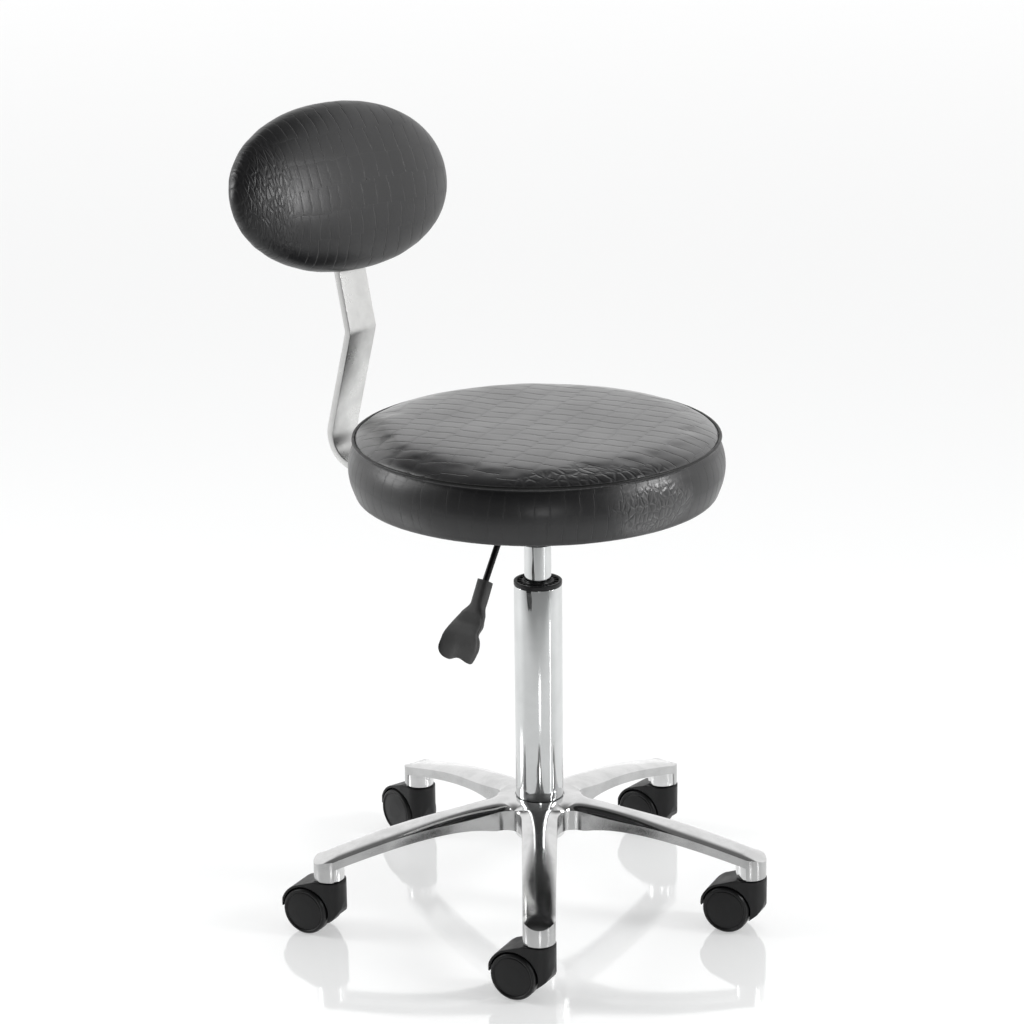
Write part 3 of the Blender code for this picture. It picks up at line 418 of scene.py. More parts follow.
def croc(look, across, along, width, height, flank):
    """Embossed crocodile hide: staggered belly plates that give way to small round flank scales.

    across and along are places in metres on the flat hide; flank goes from 0 to 1. Returns the emboss
    height from 0 in the creases to 1, a tone for each plate, the flat spot and the plates' creases as
    the mask of their painted highlight.
    """
    flat = look.node("CombineXYZ", {"X": across, "Y": along, "Z": HIDE_SEED}).outputs[0]

    def shifted(vector, scale, rough, amount):
        wander = look.noise(scale, 2.0, rough, flat, "Color")
        centred = look.node("VectorMath", {0: wander, 1: (0.5, 0.5, 0.5)}, operation="SUBTRACT").outputs[0]
        inputs = {0: centred, 1: (amount, amount, amount), 2: vector}
        return look.node("VectorMath", inputs, operation="MULTIPLY_ADD").outputs[0]

    bent = shifted(shifted(flat, 24.0, 0.5, 0.010), 170.0, 0.6, 0.0018)
    bent_across, bent_along, _ = look.node("SeparateXYZ", {0: bent}).outputs
    row_at = look.math("DIVIDE", bent_along, height)
    row = look.math("FLOOR", row_at)
    seeded_row = {"W": look.plus(row, HIDE_SEED)}
    shift = look.node("TexWhiteNoise", seeded_row, noise_dimensions="1D").outputs["Value"]
    column_at = look.times(shift, 5.0, look.math("DIVIDE", bent_across, width))
    column = look.math("FLOOR", column_at)
    cell = look.node("CombineXYZ", {"X": column, "Y": row, "Z": HIDE_SEED}).outputs[0]
    tone = look.node("TexWhiteNoise", {"Vector": cell}, noise_dimensions="3D").outputs["Value"]

    def to_edge(position, size):
        from_middle = look.math("ABSOLUTE", look.minus(look.math("FRACT", position), 0.5))
        return look.times(look.minus(0.5, from_middle), size)

    side = to_edge(column_at, width)
    end = to_edge(row_at, height)
    faint = look.noise(30.0, 1.0, 0.5, flat)
    beside = look.times(look.remap(side, 0.0001, 0.0009, 1.0, 0.0), look.remap(faint, 0.34, 0.54, 0.15, 1.0))
    ahead = look.times(look.remap(end, 0.0001, 0.0008, 1.0, 0.0), look.remap(faint, 0.44, 0.58, 0.16, 0.03))
    crease = look.math("MAXIMUM", beside, ahead)
    swell = look.remap(look.math("MINIMUM", side, end), 0.0, 0.0055)
    belly = look.times(swell, 0.22, look.minus(0.78, crease))

    squeezed = look.stretched((1.0, 0.72, 1.0), bent)
    cells = look.node("TexVoronoi", {"Vector": squeezed, "Scale": 115.0}, feature="DISTANCE_TO_EDGE")
    pebbles = look.remap(cells.outputs["Distance"], 0.0, 0.22)
    return look.between(flank, belly, pebbles), tone, flat, look.between(flank, crease, 0.0)


def vinyl(name, hide, width, height, depth, crease_highlight_grey, coat=0.0):
    """Black embossed vinyl, its creases painted a lighter grey as a painted highlight. hide(look) gives the
    place on the cover's cut, and its flank and calm shares; calm turns down the painted highlight, the relief
    and the coat.
    """
    look = Look(name, (0.012, 0.012, 0.013), 0.32, Specular_IOR_Level=0.60, Coat_Roughness=0.30)
    across, along, flank, calm = hide(look)
    emboss, tone, flat, crease_highlight_mask = croc(look, across, along, width, height, flank)
    grain = look.noise(1300.0, 2.0, 0.6, flat)
    pores = look.node("TexVoronoi", {"Vector": flat, "Scale": 900.0}, feature="F1").outputs["Distance"]
    rough = look.times(tone, 0.015, look.remap(look.noise(16.0, 3.0, 0.5, flat), 0.3, 0.7, 0.29, 0.37))
    look.put("Roughness", look.times(look.minus(1.0, emboss), 0.16, rough))
    if coat:
        look.put("Coat Weight", look.times(calm, -1.25 * coat, coat))
    lit = look.blend(tone, (0.011, 0.011, 0.012), (0.014, 0.014, 0.015))
    # The creases are painted a lighter grey. This is a painted highlight for the light their edges catch.
    look.put("Base Color", look.blend(look.between(calm, crease_highlight_mask, 0.0), lit, (crease_highlight_grey, crease_highlight_grey, crease_highlight_grey)))
    normal = look.bump(emboss, depth, look.times(calm, -0.95, 1.0))
    normal = look.bump(grain, 0.00003, 0.8, normal)
    normal = look.bump(pores, 0.00003, 0.5, normal)
    look.put("Normal", normal)
    look.put("Coat Normal", normal)
    return look.material


def seat_hide(look):
    """The top's plates run from back to front. The side's stand round it, with a patch of scales."""
    x, y, z = look.node("SeparateXYZ", {0: look.spot()}).outputs
    x = look.minus(x, COLUMN.x)
    y = look.minus(y, COLUMN.y)

    def facing(degrees, size=1.0):
        """How far a place lies out in a direction, in metres or as a share of size."""
        turn = math.radians(degrees)
        return look.times(y, math.sin(turn) / size, look.times(x, math.cos(turn) / size))

    on_side = look.math("LESS_THAN", z, SEAT_PIPING_Z - 0.0035)
    round_at = look.times(look.math("ARCTAN2", y, x), SEAT_R * 1.3)
    across = look.between(on_side, facing(HIDE_TURN_DEG), round_at)
    along = look.between(on_side, facing(HIDE_TURN_DEG + 90), look.times(z, 1.3))
    reach = look.times(look.noise(14.0, 2.0, 0.5), 0.05, facing(TOP_SCALES_DEG))
    top_flank = look.remap(reach, 0.178, 0.198)
    reach = look.times(look.noise(30.0, 2.0, 0.5), 0.05, facing(SIDE_SCALES_DEG, SEAT_R))
    side_flank = look.remap(reach, 0.975, 1.008)
    flank = look.between(on_side, top_flank, side_flank)
    calm = look.times(on_side, look.times(side_flank, -0.8, 0.8))
    return across, along, flank, calm


def pad_hide(look):
    """Plates run up the pad. They shrink towards one end, where the flank's small scales start."""
    local = look.node("Attribute", attribute_name="hide", attribute_type="GEOMETRY").outputs["Vector"]
    x, y, _ = look.node("SeparateXYZ", {0: local}).outputs
    low = look.math("MINIMUM", x, 0.0)
    across = look.times(look.times(low, low), -4.6, x)
    reach = look.times(look.noise(16.0, 2.0, 0.5, local), 0.09, x)
    flank = look.remap(reach, -0.085, -0.045, 1.0, 0.0)
    return across, y, flank, look.remap(x, 0.10, 0.16, 0.0, 0.4)


def dress(look, share, colours, rough, relief, depth):
    """Gives a look two colours by one share, its roughness range and its relief, and returns the material."""
    look.put("Base Color", look.blend(share, *colours))
    look.put("Roughness", rough)
    look.put("Normal", look.bump(relief, depth))
    return look.material


def tread(name):
    look = Look(name, (0.022, 0.022, 0.023), 0.46)
    rough = look.remap(look.noise(90.0, 3.0, 0.6), 0.3, 0.7, 0.40, 0.52)
    dust = look.remap(look.noise(300.0, 2.0, 0.6), 0.5, 0.8)
    colours = (0.022, 0.022, 0.023), (0.040, 0.039, 0.038)
    return dress(look, dust, colours, rough, look.noise(1500.0, 2.0, 0.6), 0.00003)


def foam_look(name):
    look = Look(name, (0.75, 0.70, 0.55), 0.9)
    cells = look.node("TexVoronoi", {"Vector": look.spot(), "Scale": 700.0}, feature="F1").outputs["Distance"]
    colours = (0.60, 0.54, 0.40), (0.80, 0.75, 0.60)
    return dress(look, cells, colours, look.remap(cells, 0.0, 0.8, 0.82, 0.97), cells, 0.0004)


def plywood_look(name):
    look = Look(name, (0.55, 0.40, 0.24), 0.7)
    grown = look.stretched((1.0, 14.0, 40.0))
    grain = look.times(look.noise(14.0, 5.0, 0.6, grown), 0.7)
    share = look.times(look.noise(90.0, 2.0, 0.6, grown), 0.3, grain)
    colours = (0.34, 0.22, 0.12), (0.62, 0.46, 0.28)
    rough = look.remap(share, 0.35, 0.65, 0.78, 0.62)
    return dress(look, look.remap(share, 0.35, 0.65), colours, rough, share, 0.00025)


def dust_cloth(name):
    """The black woven cloth stapled under the seat board."""
    look = Look(name, (0.012, 0.012, 0.012), 0.85, Specular_IOR_Level=0.25)
    inputs = {"Vector": look.spot(), "Scale": 320.0, "Distortion": 0.6}
    threads = [look.node("TexWave", inputs, bands_direction=way).outputs["Fac"] for way in "XY"]
    weave = look.times(*threads)
    cloud = look.remap(look.noise(22.0, 3.0, 0.6), 0.35, 0.70)
    colours = (0.010, 0.010, 0.010), (0.017, 0.017, 0.016)
    return dress(look, cloud, colours, look.remap(weave, 0.0, 1.0, 0.90, 0.78), weave, 0.00015)


LOOKS = {
    "polished_aluminium": metal("polished_cast_aluminium", (0.73, 0.73, 0.73), 0.09, 0.18, 0.00016, 26.0),
    "chrome": metal("bright_chrome", (0.66, 0.67, 0.67), 0.05, 0.10, 0.00002, 30.0, 0.0, 0.94),
    "zinc_steel": metal("zinc_plated_steel", (0.52, 0.52, 0.53), 0.28, 0.46, 0.00005, 90.0, 0.00002),
    "satin_steel": metal("satin_bar_steel", (0.72, 0.72, 0.71), 0.26, 0.36, 0.00008, 30.0, 0.000008),
    "black_steel": metal("blackened_steel", (0.030, 0.030, 0.031), 0.30, 0.44, 0.00004, 60.0),
    "black_painted_steel": plastic("painted_steel", (0.022, 0.022, 0.023), 0.40, 0.00006, 700.0),
    "black_plastic": plastic("moulded_plastic", (0.007, 0.007, 0.0075), 0.42, 0.00004, 1600.0),
    "black_tread": tread("wheel_tread"),
    "bumper_rubber": plastic("soft_rubber", (0.016, 0.016, 0.016), 0.68, 0.00008, 900.0),
    "foam": foam_look("seat_foam_cells"),
    "plywood": plywood_look("birch_plywood"),
}
# The sixth number of each vinyl is the grey of the painted highlight in its creases.
SEAT_VINYL = vinyl("seat_hide_vinyl", seat_hide, 0.0195, 0.030, 0.00040, 0.022, 0.75)
PAD_VINYL = vinyl("pad_hide_vinyl", pad_hide, 0.0215, 0.0265, 0.00030, 0.055)
CAST_WALL = metal("cast_aluminium_wall", (0.50, 0.50, 0.50), 0.16, 0.28, 0.00012, 60.0)
PIPING_LOOK = plastic("piping_vinyl", (0.010, 0.010, 0.010), 0.38, 0.00005, 1100.0)
PANEL_LOOK = plastic("rear_panel_vinyl", (0.014, 0.014, 0.015), 0.36, 0.00010, 520.0)
WHEEL_FACE = plastic("wheel_face_plastic", (0.006, 0.006, 0.0065), 0.38, 0.00003, 1700.0)
LEVER_PLASTIC = plastic("lever_plastic", (0.055, 0.055, 0.055), 0.46, 0.00005, 1200.0)
DUST_CLOTH = dust_cloth("dust_cloth")

for cad_name, cad_node in frame["nodes"].items():
    for cad_slot in cad_node.material_slots:
        slot_name = cad_slot.material.name.split(".")[0]
        cad_slot.material = DUST_CLOTH if cad_name == "seat_board" else LOOKS.get(slot_name, PIPING_LOOK)


# ---- base


def ridge_z(along):
    """Height of a leg's middle line at a distance from the column's axis."""
    return HUB_TOP_Z - 0.407 * max(along - ARCH_START_R, 0.0) ** 1.5


def side_drop(along):
    """How far a leg's top edge lies under its middle line."""
    ramp = smoothstep(HUB_RING_R * 0.81, HUB_RING_R * 0.81 + 0.020, along)
    return ramp * (0.0025 + 0.0040 * math.exp(-(((along - 0.078) / 0.045) ** 2)))


def leg_low_z(along):
    if along > STEM_CIRCLE_R - 0.0005:
        return BOSS_BOTTOM_Z + GAP
    return ridge_z(along) - min(0.0115 + 0.0145 * math.exp((0.055 - along) / 0.040), 0.026)


def leg_half_width(along):
    share = (along - 0.05) / (STEM_CIRCLE_R - 0.05)
    return LEG_ROOT_HALF_W + (LEG_TIP_HALF_W - LEG_ROOT_HALF_W) * share


def leg_rows():
    """Rows across a leg from the hub outwards: (side x, side y, middle x, span angle, free side)."""
    half = math.pi / LEGS
    rows = []
    for radius in (HUB_RING_R, 0.0280, 0.0300, 0.0325, 0.0355, 0.0390, 0.0425):
        rows.append((radius * math.cos(half), radius * math.sin(half), radius, half, False))
    reach = (LEG_ROOT_HALF_W + WEB_FILLET_R) / math.sin(half)
    bends = 12
    for step in range(bends + 1):
        angle = math.pi + half + step / bends * (math.pi / 2 - half)
        x = reach * math.cos(half) + WEB_FILLET_R * math.cos(angle)
        y = reach * math.sin(half) + WEB_FILLET_R * math.sin(angle)
        rows.append((x, y, x + 0.006 * (1 - step / bends), half, True))
    first = rows[-1][0]
    last = STEM_CIRCLE_R - 0.0010
    count = 30
    for step in range(1, count + 1):
        x = first + (last - first) * step / count
        rows.append((x, leg_half_width(x), x, half, True))
    tip_x = STEM_CIRCLE_R
    rows.append((tip_x, LEG_TIP_HALF_W, tip_x + LEG_TIP_HALF_W, math.pi / 2, True))
    return rows


ACROSSES = [math.sin(math.pi / 2 * step / 10) for step in range(-10, 11)]


def leg_point(row, across):
    side_x, side_y, middle_x, span, _ = row
    bow = (math.cos(span * across) - math.cos(span)) / (1 - math.cos(span))
    x = side_x + (middle_x - side_x) * bow
    y = side_y * math.sin(span * across) / math.sin(span)
    edge = max(abs(across), bow if span > 1.5 and x > STEM_CIRCLE_R else 0.0)
    return Vector((x, y, ridge_z(x) - side_drop(x) * edge**2.5))


def leg_skin(work, turn):
    """One leg's top and side walls, as an open skin; the walls are its second material."""
    rows = leg_rows()
    turned = Matrix.Rotation(turn, 4, "Z")
    top = [[work.verts.new(turned @ leg_point(row, v)) for v in ACROSSES] for row in rows]
    last_v = len(ACROSSES) - 1

    def foot(row, v):
        point = leg_point(row, v)
        return work.verts.new(turned @ Vector((point.x, point.y, leg_low_z(point.x))))

    for first, second in zip(top, top[1:]):
        for j in range(last_v):
            work.faces.new((first[j], second[j], second[j + 1], first[j + 1]))
    free = [i for i, row in enumerate(rows) if row[4]]
    feet = {(i, j): foot(rows[i], ACROSSES[j]) for i in free for j in (0, last_v)}
    last = len(rows) - 1
    feet.update({(last, j): foot(rows[last], ACROSSES[j]) for j in range(1, last_v)})
    walls = []
    for i in free[:-1]:
        walls.append((top[i + 1][0], top[i][0], feet[i, 0], feet[i + 1, 0]))
        walls.append((top[i][last_v], top[i + 1][last_v], feet[i + 1, last_v], feet[i, last_v]))
    for j in range(last_v):
        walls.append((top[last][j + 1], top[last][j], feet[last, j], feet[last, j + 1]))
    for wall in walls:
        work.faces.new(wall).material_index = 1


def round_lips(star):
    """Rounds the edge where a leg's polished top turns down into its wall."""
    work = bmesh.new()
    work.from_mesh(star.data)
    edges = []
    for edge in work.edges:
        if len(edge.link_faces) != 2:
            continue
        wall, top = sorted(edge.link_faces, key=lambda face: face.normal.z)
        turns_down = abs(wall.normal.z) < 0.35 < top.normal.z
        on_leg = edge.verts[0].co.to_2d().length > LIP_START_R
        if turns_down and on_leg and wall.material_index != top.material_index:
            edges.append(edge)
    settings = {"segments": 3, "profile": 0.5, "affect": "EDGES", "clamp_overlap": True}
    bmesh.ops.bevel(work, geom=edges, offset=LIP_R, **settings)
    work.to_mesh(star.data)
    work.free()
    smooth(star)


def stem_spot(k):
    turn = math.radians(FIRST_LEG_DEG + k * 360 / LEGS)
    return STEM_CIRCLE_R * math.cos(turn), STEM_CIRCLE_R * math.sin(turn)


def make_base():
    work = bmesh.new()
    for k in range(LEGS):
        leg_skin(work, math.radians(FIRST_LEG_DEG + k * 360 / LEGS))
    bmesh.ops.remove_doubles(work, verts=work.verts, dist=0.00002)
    star = piece("base_casting", work, [LOOKS["polished_aluminium"], CAST_WALL])
    shell = star.modifiers.new("wall", "SOLIDIFY")
    shell.thickness = LEG_WALL
    shell.offset = -1
    shell.use_even_offset = True
    shell.material_offset = 1
    shell.material_offset_rim = 1
    settle(star)
    work = bmesh.new()
    low_r = HUB_R - 0.0010
    high = HUB_TOP_Z - 0.0015
    hub = [(0, HUB_BOTTOM_Z, 0), (low_r, HUB_BOTTOM_Z, 0.0025), (HUB_R, high, 0), (0, high, 0)]
    lathe(work, fillet(hub, closed=False), 96)
    boss = [(0, BOSS_BOTTOM_Z, 0), (BOSS_R, BOSS_BOTTOM_Z, 0.0008)]
    boss += [(BOSS_R, BOSS_TOP_Z, 0), (0, BOSS_TOP_Z, 0)]
    for k in range(LEGS):
        lathe(work, fillet(boss, closed=False), 64, Matrix.Translation((*stem_spot(k), 0)))
    cut(star, "UNION", work)
    work = bmesh.new()
    drum(work, 0, 0, HUB_BOTTOM_Z - 0.01, HUB_TOP_Z + 0.01, HUB_BORE_BOTTOM_R, 96, HUB_BORE_TOP_R)
    for k in range(LEGS):
        drum(work, *stem_spot(k), BOSS_BOTTOM_Z - 0.01, BOSS_TOP_Z + 0.0016, STEM_R + GAP, 32)
    cut(star, "DIFFERENCE", work)
    round_lips(star)
    star.data.transform(AT_COLUMN)
    stand_in(star, "base", "base_star")


# ---- column


def ring(name, look, corners, body, node, segments=SEGMENTS, steps=4):
    """A closed ring of (radius, height, rounding) corners about the column, riding on a body."""
    work = bmesh.new()
    lathe(work, fillet(corners, steps), segments, closed=True)
    made = piece(name, work, [LOOKS[look]], AT_COLUMN)
    return stand_in(made, body, node)


def make_tube():
    seat_z = HUB_TOP_Z - 0.0012
    foot_z = TUBE_LOW.z
    floor_z = foot_z + 0.003
    corners = [(TUBE_R, TUBE_TOP_Z, 0.0006), (TUBE_R, seat_z, 0.0008)]
    corners += [(HUB_BORE_TOP_R - GAP * 1.5, seat_z, 0), (HUB_BORE_BOTTOM_R - GAP * 1.5, foot_z, 0.0006)]
    corners += [(0.0053, foot_z, 0), (0.0053, floor_z, 0), (0.0198, floor_z, 0), (0.0198, seat_z, 0)]
    corners += [(TUBE_BORE_R, seat_z + 0.010, 0), (TUBE_BORE_R, TUBE_TOP_Z, 0.0003)]
    ring("column_sleeve", "chrome", corners, "base", "column_tube", 160)


def make_bush():
    """The black bush: a skirt in the tube, a groove crossed by ribs and a tab folded over the rim."""
    low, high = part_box("guide_bush")
    top_z = high.z
    flange_z = TUBE_TOP_Z + GAP
    groove_z = top_z - 0.0030
    skirt_r = TUBE_BORE_R - GAP
    corners = [(TUBE_R, top_z - 0.0004, 0.0004), (TUBE_R, flange_z, 0.0005), (skirt_r, flange_z, 0)]
    corners += [(skirt_r, low.z, 0), (0.0143, low.z, 0.0003), (0.0143, top_z, 0.0005)]
    corners += [(0.0166, top_z, 0.0006), (0.0172, groove_z, 0.0004), (0.0212, groove_z, 0.0004)]
    corners += [(0.0218, top_z, 0.0006), (TUBE_R - 0.0006, top_z, 0.0005)]
    work = bmesh.new()
    lathe(work, fillet(corners, 3), 160, closed=True)
    bush = piece("column_bush", work, [LOOKS["black_plastic"]])
    work = bmesh.new()

    def block(turn, radius, height, size):
        at = Matrix.Rotation(turn, 4, "Z") @ Matrix.Translation((radius, 0, height))
        return bmesh.ops.create_cube(work, size=1, matrix=at @ Matrix.Diagonal((*size, 1)))

    for j in range(BUSH_RIBS):
        block(2 * math.pi * j / BUSH_RIBS, 0.0192, top_z - 0.0021, (0.0048, 0.0011, 0.0022))
    tab = block(math.radians(BUSH_TAB_DEG), TUBE_R - 0.0002, flange_z - 0.0004, (0.0016, 0.0050, 0.0044))
    edges = {edge for vert in tab["verts"] for edge in vert.link_edges}
    bmesh.ops.bevel(work, geom=list(edges), offset=0.0004, segments=2, affect="EDGES")
    cut(bush, "UNION", work)
    bush.data.transform(AT_COLUMN)
    stand_in(bush, "base", "guide_bush")


def make_cylinder():
    """The gas cylinder, with the slight taper that sits in the seat's socket."""
    low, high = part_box("gas_cylinder")
    radius = (high.x - low.x) / 2
    inner_z = high.z - 0.016
    corners = [(0.0033, high.z, 0), (0.0133, high.z, 0.0006), (radius - 0.0001, TAPER_Z, 0)]
    corners += [(radius, TAPER_Z - 0.002, 0), (radius, low.z, 0.0005), (0.0122, low.z, 0)]
    corners += [(0.0122, inner_z, 0), (0.0033, inner_z, 0)]
    ring("gas_rod_tube", "chrome", corners, "seat", "gas_cylinder", steps=3)


# ---- seat


def seat_line():
    """The cover's outer line from the crest to the hem turned under the board, with a valley at the seam."""
    drop = SEAT_CREST_Z - SEAT_PIPING_Z + 0.0010
    flat_r = 0.030
    seam_r = SEAT_PIPING_R - 0.0014
    points = [(0.0, SEAT_CREST_Z)]
    count = 40
    for step in range(1, count + 1):
        radius = seam_r * math.sin(math.pi / 2 * (step / count) ** 0.94)
        share = max(radius - flat_r, 0.0) / (seam_r - flat_r)
        points.append((radius, SEAT_CREST_Z - drop * (1 - math.sqrt(max(1 - share**5.5, 0.0)))))
    seam_at = len(points)
    points.append((seam_r - 0.0004, SEAT_PIPING_Z - 0.0026))
    high = SEAT_PIPING_Z - 0.0038
    low = SEAT_LOW_Z + 0.0060
    count = 14
    for step in range(count + 1):
        share = step / count
        bulge = math.sin(math.pi * (0.10 + 0.78 * share))
        ease = 0.0016 * math.exp(-share / 0.07)
        points.append((SEAT_R - 0.0004 - 0.0095 * (1 - bulge) - ease, high + (low - high) * share))
    corner = points[-1][0]
    for inset, lift in ((0.0010, 0.0032), (0.0030, 0.0010), (0.0058, 0.0002)):
        points.append((corner - inset, SEAT_LOW_Z + lift))
    points += [(radius, SEAT_LOW_Z) for radius in (0.1740, 0.1670, 0.1600)]
    return points, seam_at


def puckers(turn, seed):
    """Uneven gathers round a seam, from about -1 to 1."""
    spot = Vector((math.cos(turn), math.sin(turn), 0)) * 9.0 + Vector((0, 0, seed))
    return noise.noise(spot) * 0.8 + noise.noise(spot * 2.7) * 0.5


def pump(obj, pinned, pressure, cap):
    """Swells a cover as cloth under pressure, held at its seams, with no point moved further than cap."""
    before = np.array([vert.co for vert in obj.data.vertices])
    group = obj.vertex_groups.new(name="seams")
    for index, weight in pinned.items():
        group.add([index], weight, "REPLACE")
    cloth = obj.modifiers.new("cloth", "CLOTH")
    fabric = cloth.settings
    fabric.quality = 4
    fabric.mass = 0.4
    fabric.tension_stiffness = 25
    fabric.compression_stiffness = 25
    fabric.shear_stiffness = 10
    fabric.bending_stiffness = 2.0
    fabric.use_pressure = True
    fabric.uniform_pressure_force = pressure
    fabric.vertex_group_mass = "seams"
    fabric.pin_stiffness = 5.0
    fabric.effector_weights.gravity = 0.0
    cloth.collision_settings.use_collision = False
    cloth.collision_settings.use_self_collision = False
    cloth.point_cache.frame_start = 1
    cloth.point_cache.frame_end = PUMP_FRAMES
    scene = bpy.context.scene
    for step in range(1, PUMP_FRAMES + 1):
        scene.frame_set(step)
    graph = bpy.context.evaluated_depsgraph_get()
    swollen = obj.evaluated_get(graph).to_mesh()
    after = np.array([vert.co for vert in swollen.vertices])
    obj.evaluated_get(graph).to_mesh_clear()
    obj.modifiers.remove(cloth)
    obj.vertex_groups.clear()
    scene.frame_set(1)
    moved = after - before
    far = np.linalg.norm(moved, axis=1, keepdims=True)
    moved *= cap * np.tanh(far / cap) / np.maximum(far, 1e-9)
    for vert, place in zip(obj.data.vertices, before + moved):
        vert.co = place


def thicken(cover):
    """Gives a cover its thickness inwards, then one subdivision."""
    solid = cover.modifiers.new("cover", "SOLIDIFY")
    solid.thickness = COVER
    solid.offset = -1
    fine = cover.modifiers.new("fine", "SUBSURF")
    fine.levels = 1
    fine.render_levels = 1
    settle(cover, 60)


def gather_seat(cushion, index_ring, seam_at):
    """Uneven gathers beside the seam and the hem, and folds where the cover turns under the board."""
    for vert in cushion.data.vertices:
        radius = math.hypot(vert.co.x, vert.co.y)
        if radius < 0.02:
            continue
        turn = math.atan2(vert.co.y, vert.co.x)
        row = index_ring[vert.index]
        outward = Vector((vert.co.x, vert.co.y, 0)) / radius
        if row < seam_at:
            near = math.exp(-(SEAT_PIPING_R - radius) / 0.010)
            vert.co.z += 0.00055 * near * puckers(turn, 1.0) * min((seam_at - row) / 3, 1.0)
            vert.co.z += 0.0007 * noise.noise(vert.co * 11.0) * (1 - near)
        elif row > seam_at + 1 and vert.co.z > SEAT_LOW_Z + 0.004:
            down = (SEAT_PIPING_Z - vert.co.z) / (SEAT_PIPING_Z - SEAT_LOW_Z)
            at_seam = math.exp(-down / 0.10)
            at_hem = math.exp(-(1 - down) / 0.16)
            waver = 0.0005 * at_seam * puckers(turn, 5.0) + 0.0007 * at_hem * puckers(turn, 9.0)
            vert.co += outward * (waver + 0.0005 * noise.noise(vert.co * 14.0) * (1 - at_seam - at_hem * 0.5))
        elif row > seam_at + 1:
            folds = max(noise.noise(Vector((math.cos(turn), math.sin(turn), 3.0)) * 15.0), 0.0)
            vert.co.z -= 0.0009 * folds * smoothstep(0.190, 0.170, radius)


def make_seat():
    line, seam_at = seat_line()
    work = bmesh.new()
    rings = lathe(work, line, 160)
    work.verts.index_update()
    held = [seam_at - 1, seam_at, seam_at + 1, *range(len(rings) - 6, len(rings))]
    pinned = {vert.index: 1.0 for i in held for vert in rings[i]}
    index_ring = {vert.index: i for i, ring in enumerate(rings) for vert in ring}
    cushion = piece("seat_cushion", work, [SEAT_VINYL])
    pump(cushion, pinned, PUMP_PRESSURE, SEAT_SWELL)
    gather_seat(cushion, index_ring, seam_at)
    thicken(cushion)
    cushion.data.transform(AT_COLUMN)
    stand_in(cushion, "seat", "seat_cover")


def make_piping():
    """The thin cord in the top seam, slightly uneven."""
    turns = 288
    sides = 12
    angles = [2 * math.pi * i / sides for i in range(sides)]
    cord = [(PIPING_CORD_R * math.cos(angle), PIPING_CORD_R * math.sin(angle)) for angle in angles]
    work = bmesh.new()
    loops = []
    for j in range(turns):
        turn = 2 * math.pi * j / turns
        middle_r = SEAT_PIPING_R + 0.00022 * puckers(turn, 21.0)
        middle_z = SEAT_PIPING_Z - 0.0002 + 0.00025 * puckers(turn, 31.0)
        section = [(middle_r + out, middle_z + up) for out, up in cord]
        loops.append([work.verts.new((r * math.cos(turn), r * math.sin(turn), z)) for r, z in section])
    bridge(work, loops, closed=True)
    piping = piece("seat_piping_cord", work, [PIPING_LOOK], AT_COLUMN)
    stand_in(piping, "seat", "seat_piping")


# ---- backrest


def bar_corners():
    lean = math.tan(math.radians(BAR_LEAN_DEG))
    low_y = BAR_KINK[0] + (BAR_KINK[1] - BAR_RUN_Z) * lean
    lower = math.radians(BAR_RECLINE_DEG)
    upper = math.radians(PAD_RECLINE_DEG)
    bend = (BAR_KINK[0] + BAR_BEND_UP * math.sin(lower), BAR_KINK[1] + BAR_BEND_UP * math.cos(lower))
    top = (bend[0] + BAR_TOP_LENGTH * math.sin(upper), bend[1] + BAR_TOP_LENGTH * math.cos(upper))
    return [(BAR_START_Y, BAR_RUN_Z), (low_y, BAR_RUN_Z), BAR_KINK, bend, top]


def bar_frame():
    """Axes of the bar's top stretch behind the pad: X across, Y up the bar, Z forward."""
    recline = math.radians(PAD_RECLINE_DEG)
    up = Vector((0, math.sin(recline), math.cos(recline)))
    across = Vector((1, 0, 0))
    axes = Matrix((across, up, across.cross(up))).transposed().to_4x4()
    return AT_COLUMN @ Matrix.Translation(Vector((0, *bar_corners()[3])) + up * PAD_UP) @ axes


def pad_frame():
    return bar_frame() @ Matrix.Rotation(math.radians(PAD_ROLL_DEG), 4, "Z")


def make_bar():
    bends = (0, *BAR_BEND_RADII, 0)
    path = fillet([(*spot, bend) for spot, bend in zip(bar_corners(), bends)], 14, closed=False)
    half_w = BAR_W / 2
    half_t = BAR_T / 2
    corners = [(-half_w, -half_t), (half_w, -half_t), (half_w, half_t), (-half_w, half_t)]
    section = fillet([(*corner, BAR_EDGE_R) for corner in corners])
    frames = []
    for i, spot in enumerate(path):
        before = path[max(i - 1, 0)]
        after = path[min(i + 1, len(path) - 1)]
        ahead = (after - before).normalized()
        out = Vector((0, -ahead.y, ahead.x))
        axes = Matrix((Vector((1, 0, 0)), out, Vector((0, ahead.x, ahead.y)))).transposed().to_4x4()
        frames.append(Matrix.Translation((0, spot.x, spot.y)) @ axes)
    work = bmesh.new()
    sweep(work, section, frames)
    bar = piece("backrest_spine", work, [LOOKS["satin_steel"]], AT_COLUMN, 50)
    work = bmesh.new()
    for y in BAR_BOLT_YS:
        drum(work, COLUMN.x, COLUMN.y + y, BAR_RUN_Z - 0.02, BAR_RUN_Z + 0.006, BOLT_R + GAP, 24)
    cut(bar, "DIFFERENCE", work)
    work = bmesh.new()
    for up in PAD_SCREW_UPS:
        drum(work, 0, up, -0.02, 0.02, BOLT_R + GAP, 24)
    cut(bar, "DIFFERENCE", work, bar_frame())
    smooth(bar, 50)
    stand_in(bar, "seat", "backrest_bar")


def oval(radius, turn):
    """A point of the pad's outline family: an oval a little squarer than an ellipse."""
    c = math.cos(turn)
    s = math.sin(turn)
    swell = (abs(c) ** PAD_SQUARENESS + abs(s) ** PAD_SQUARENESS) ** (-1 / PAD_SQUARENESS)
    return radius * c * swell * PAD_HALF_W / PAD_HALF_H, radius * s * swell


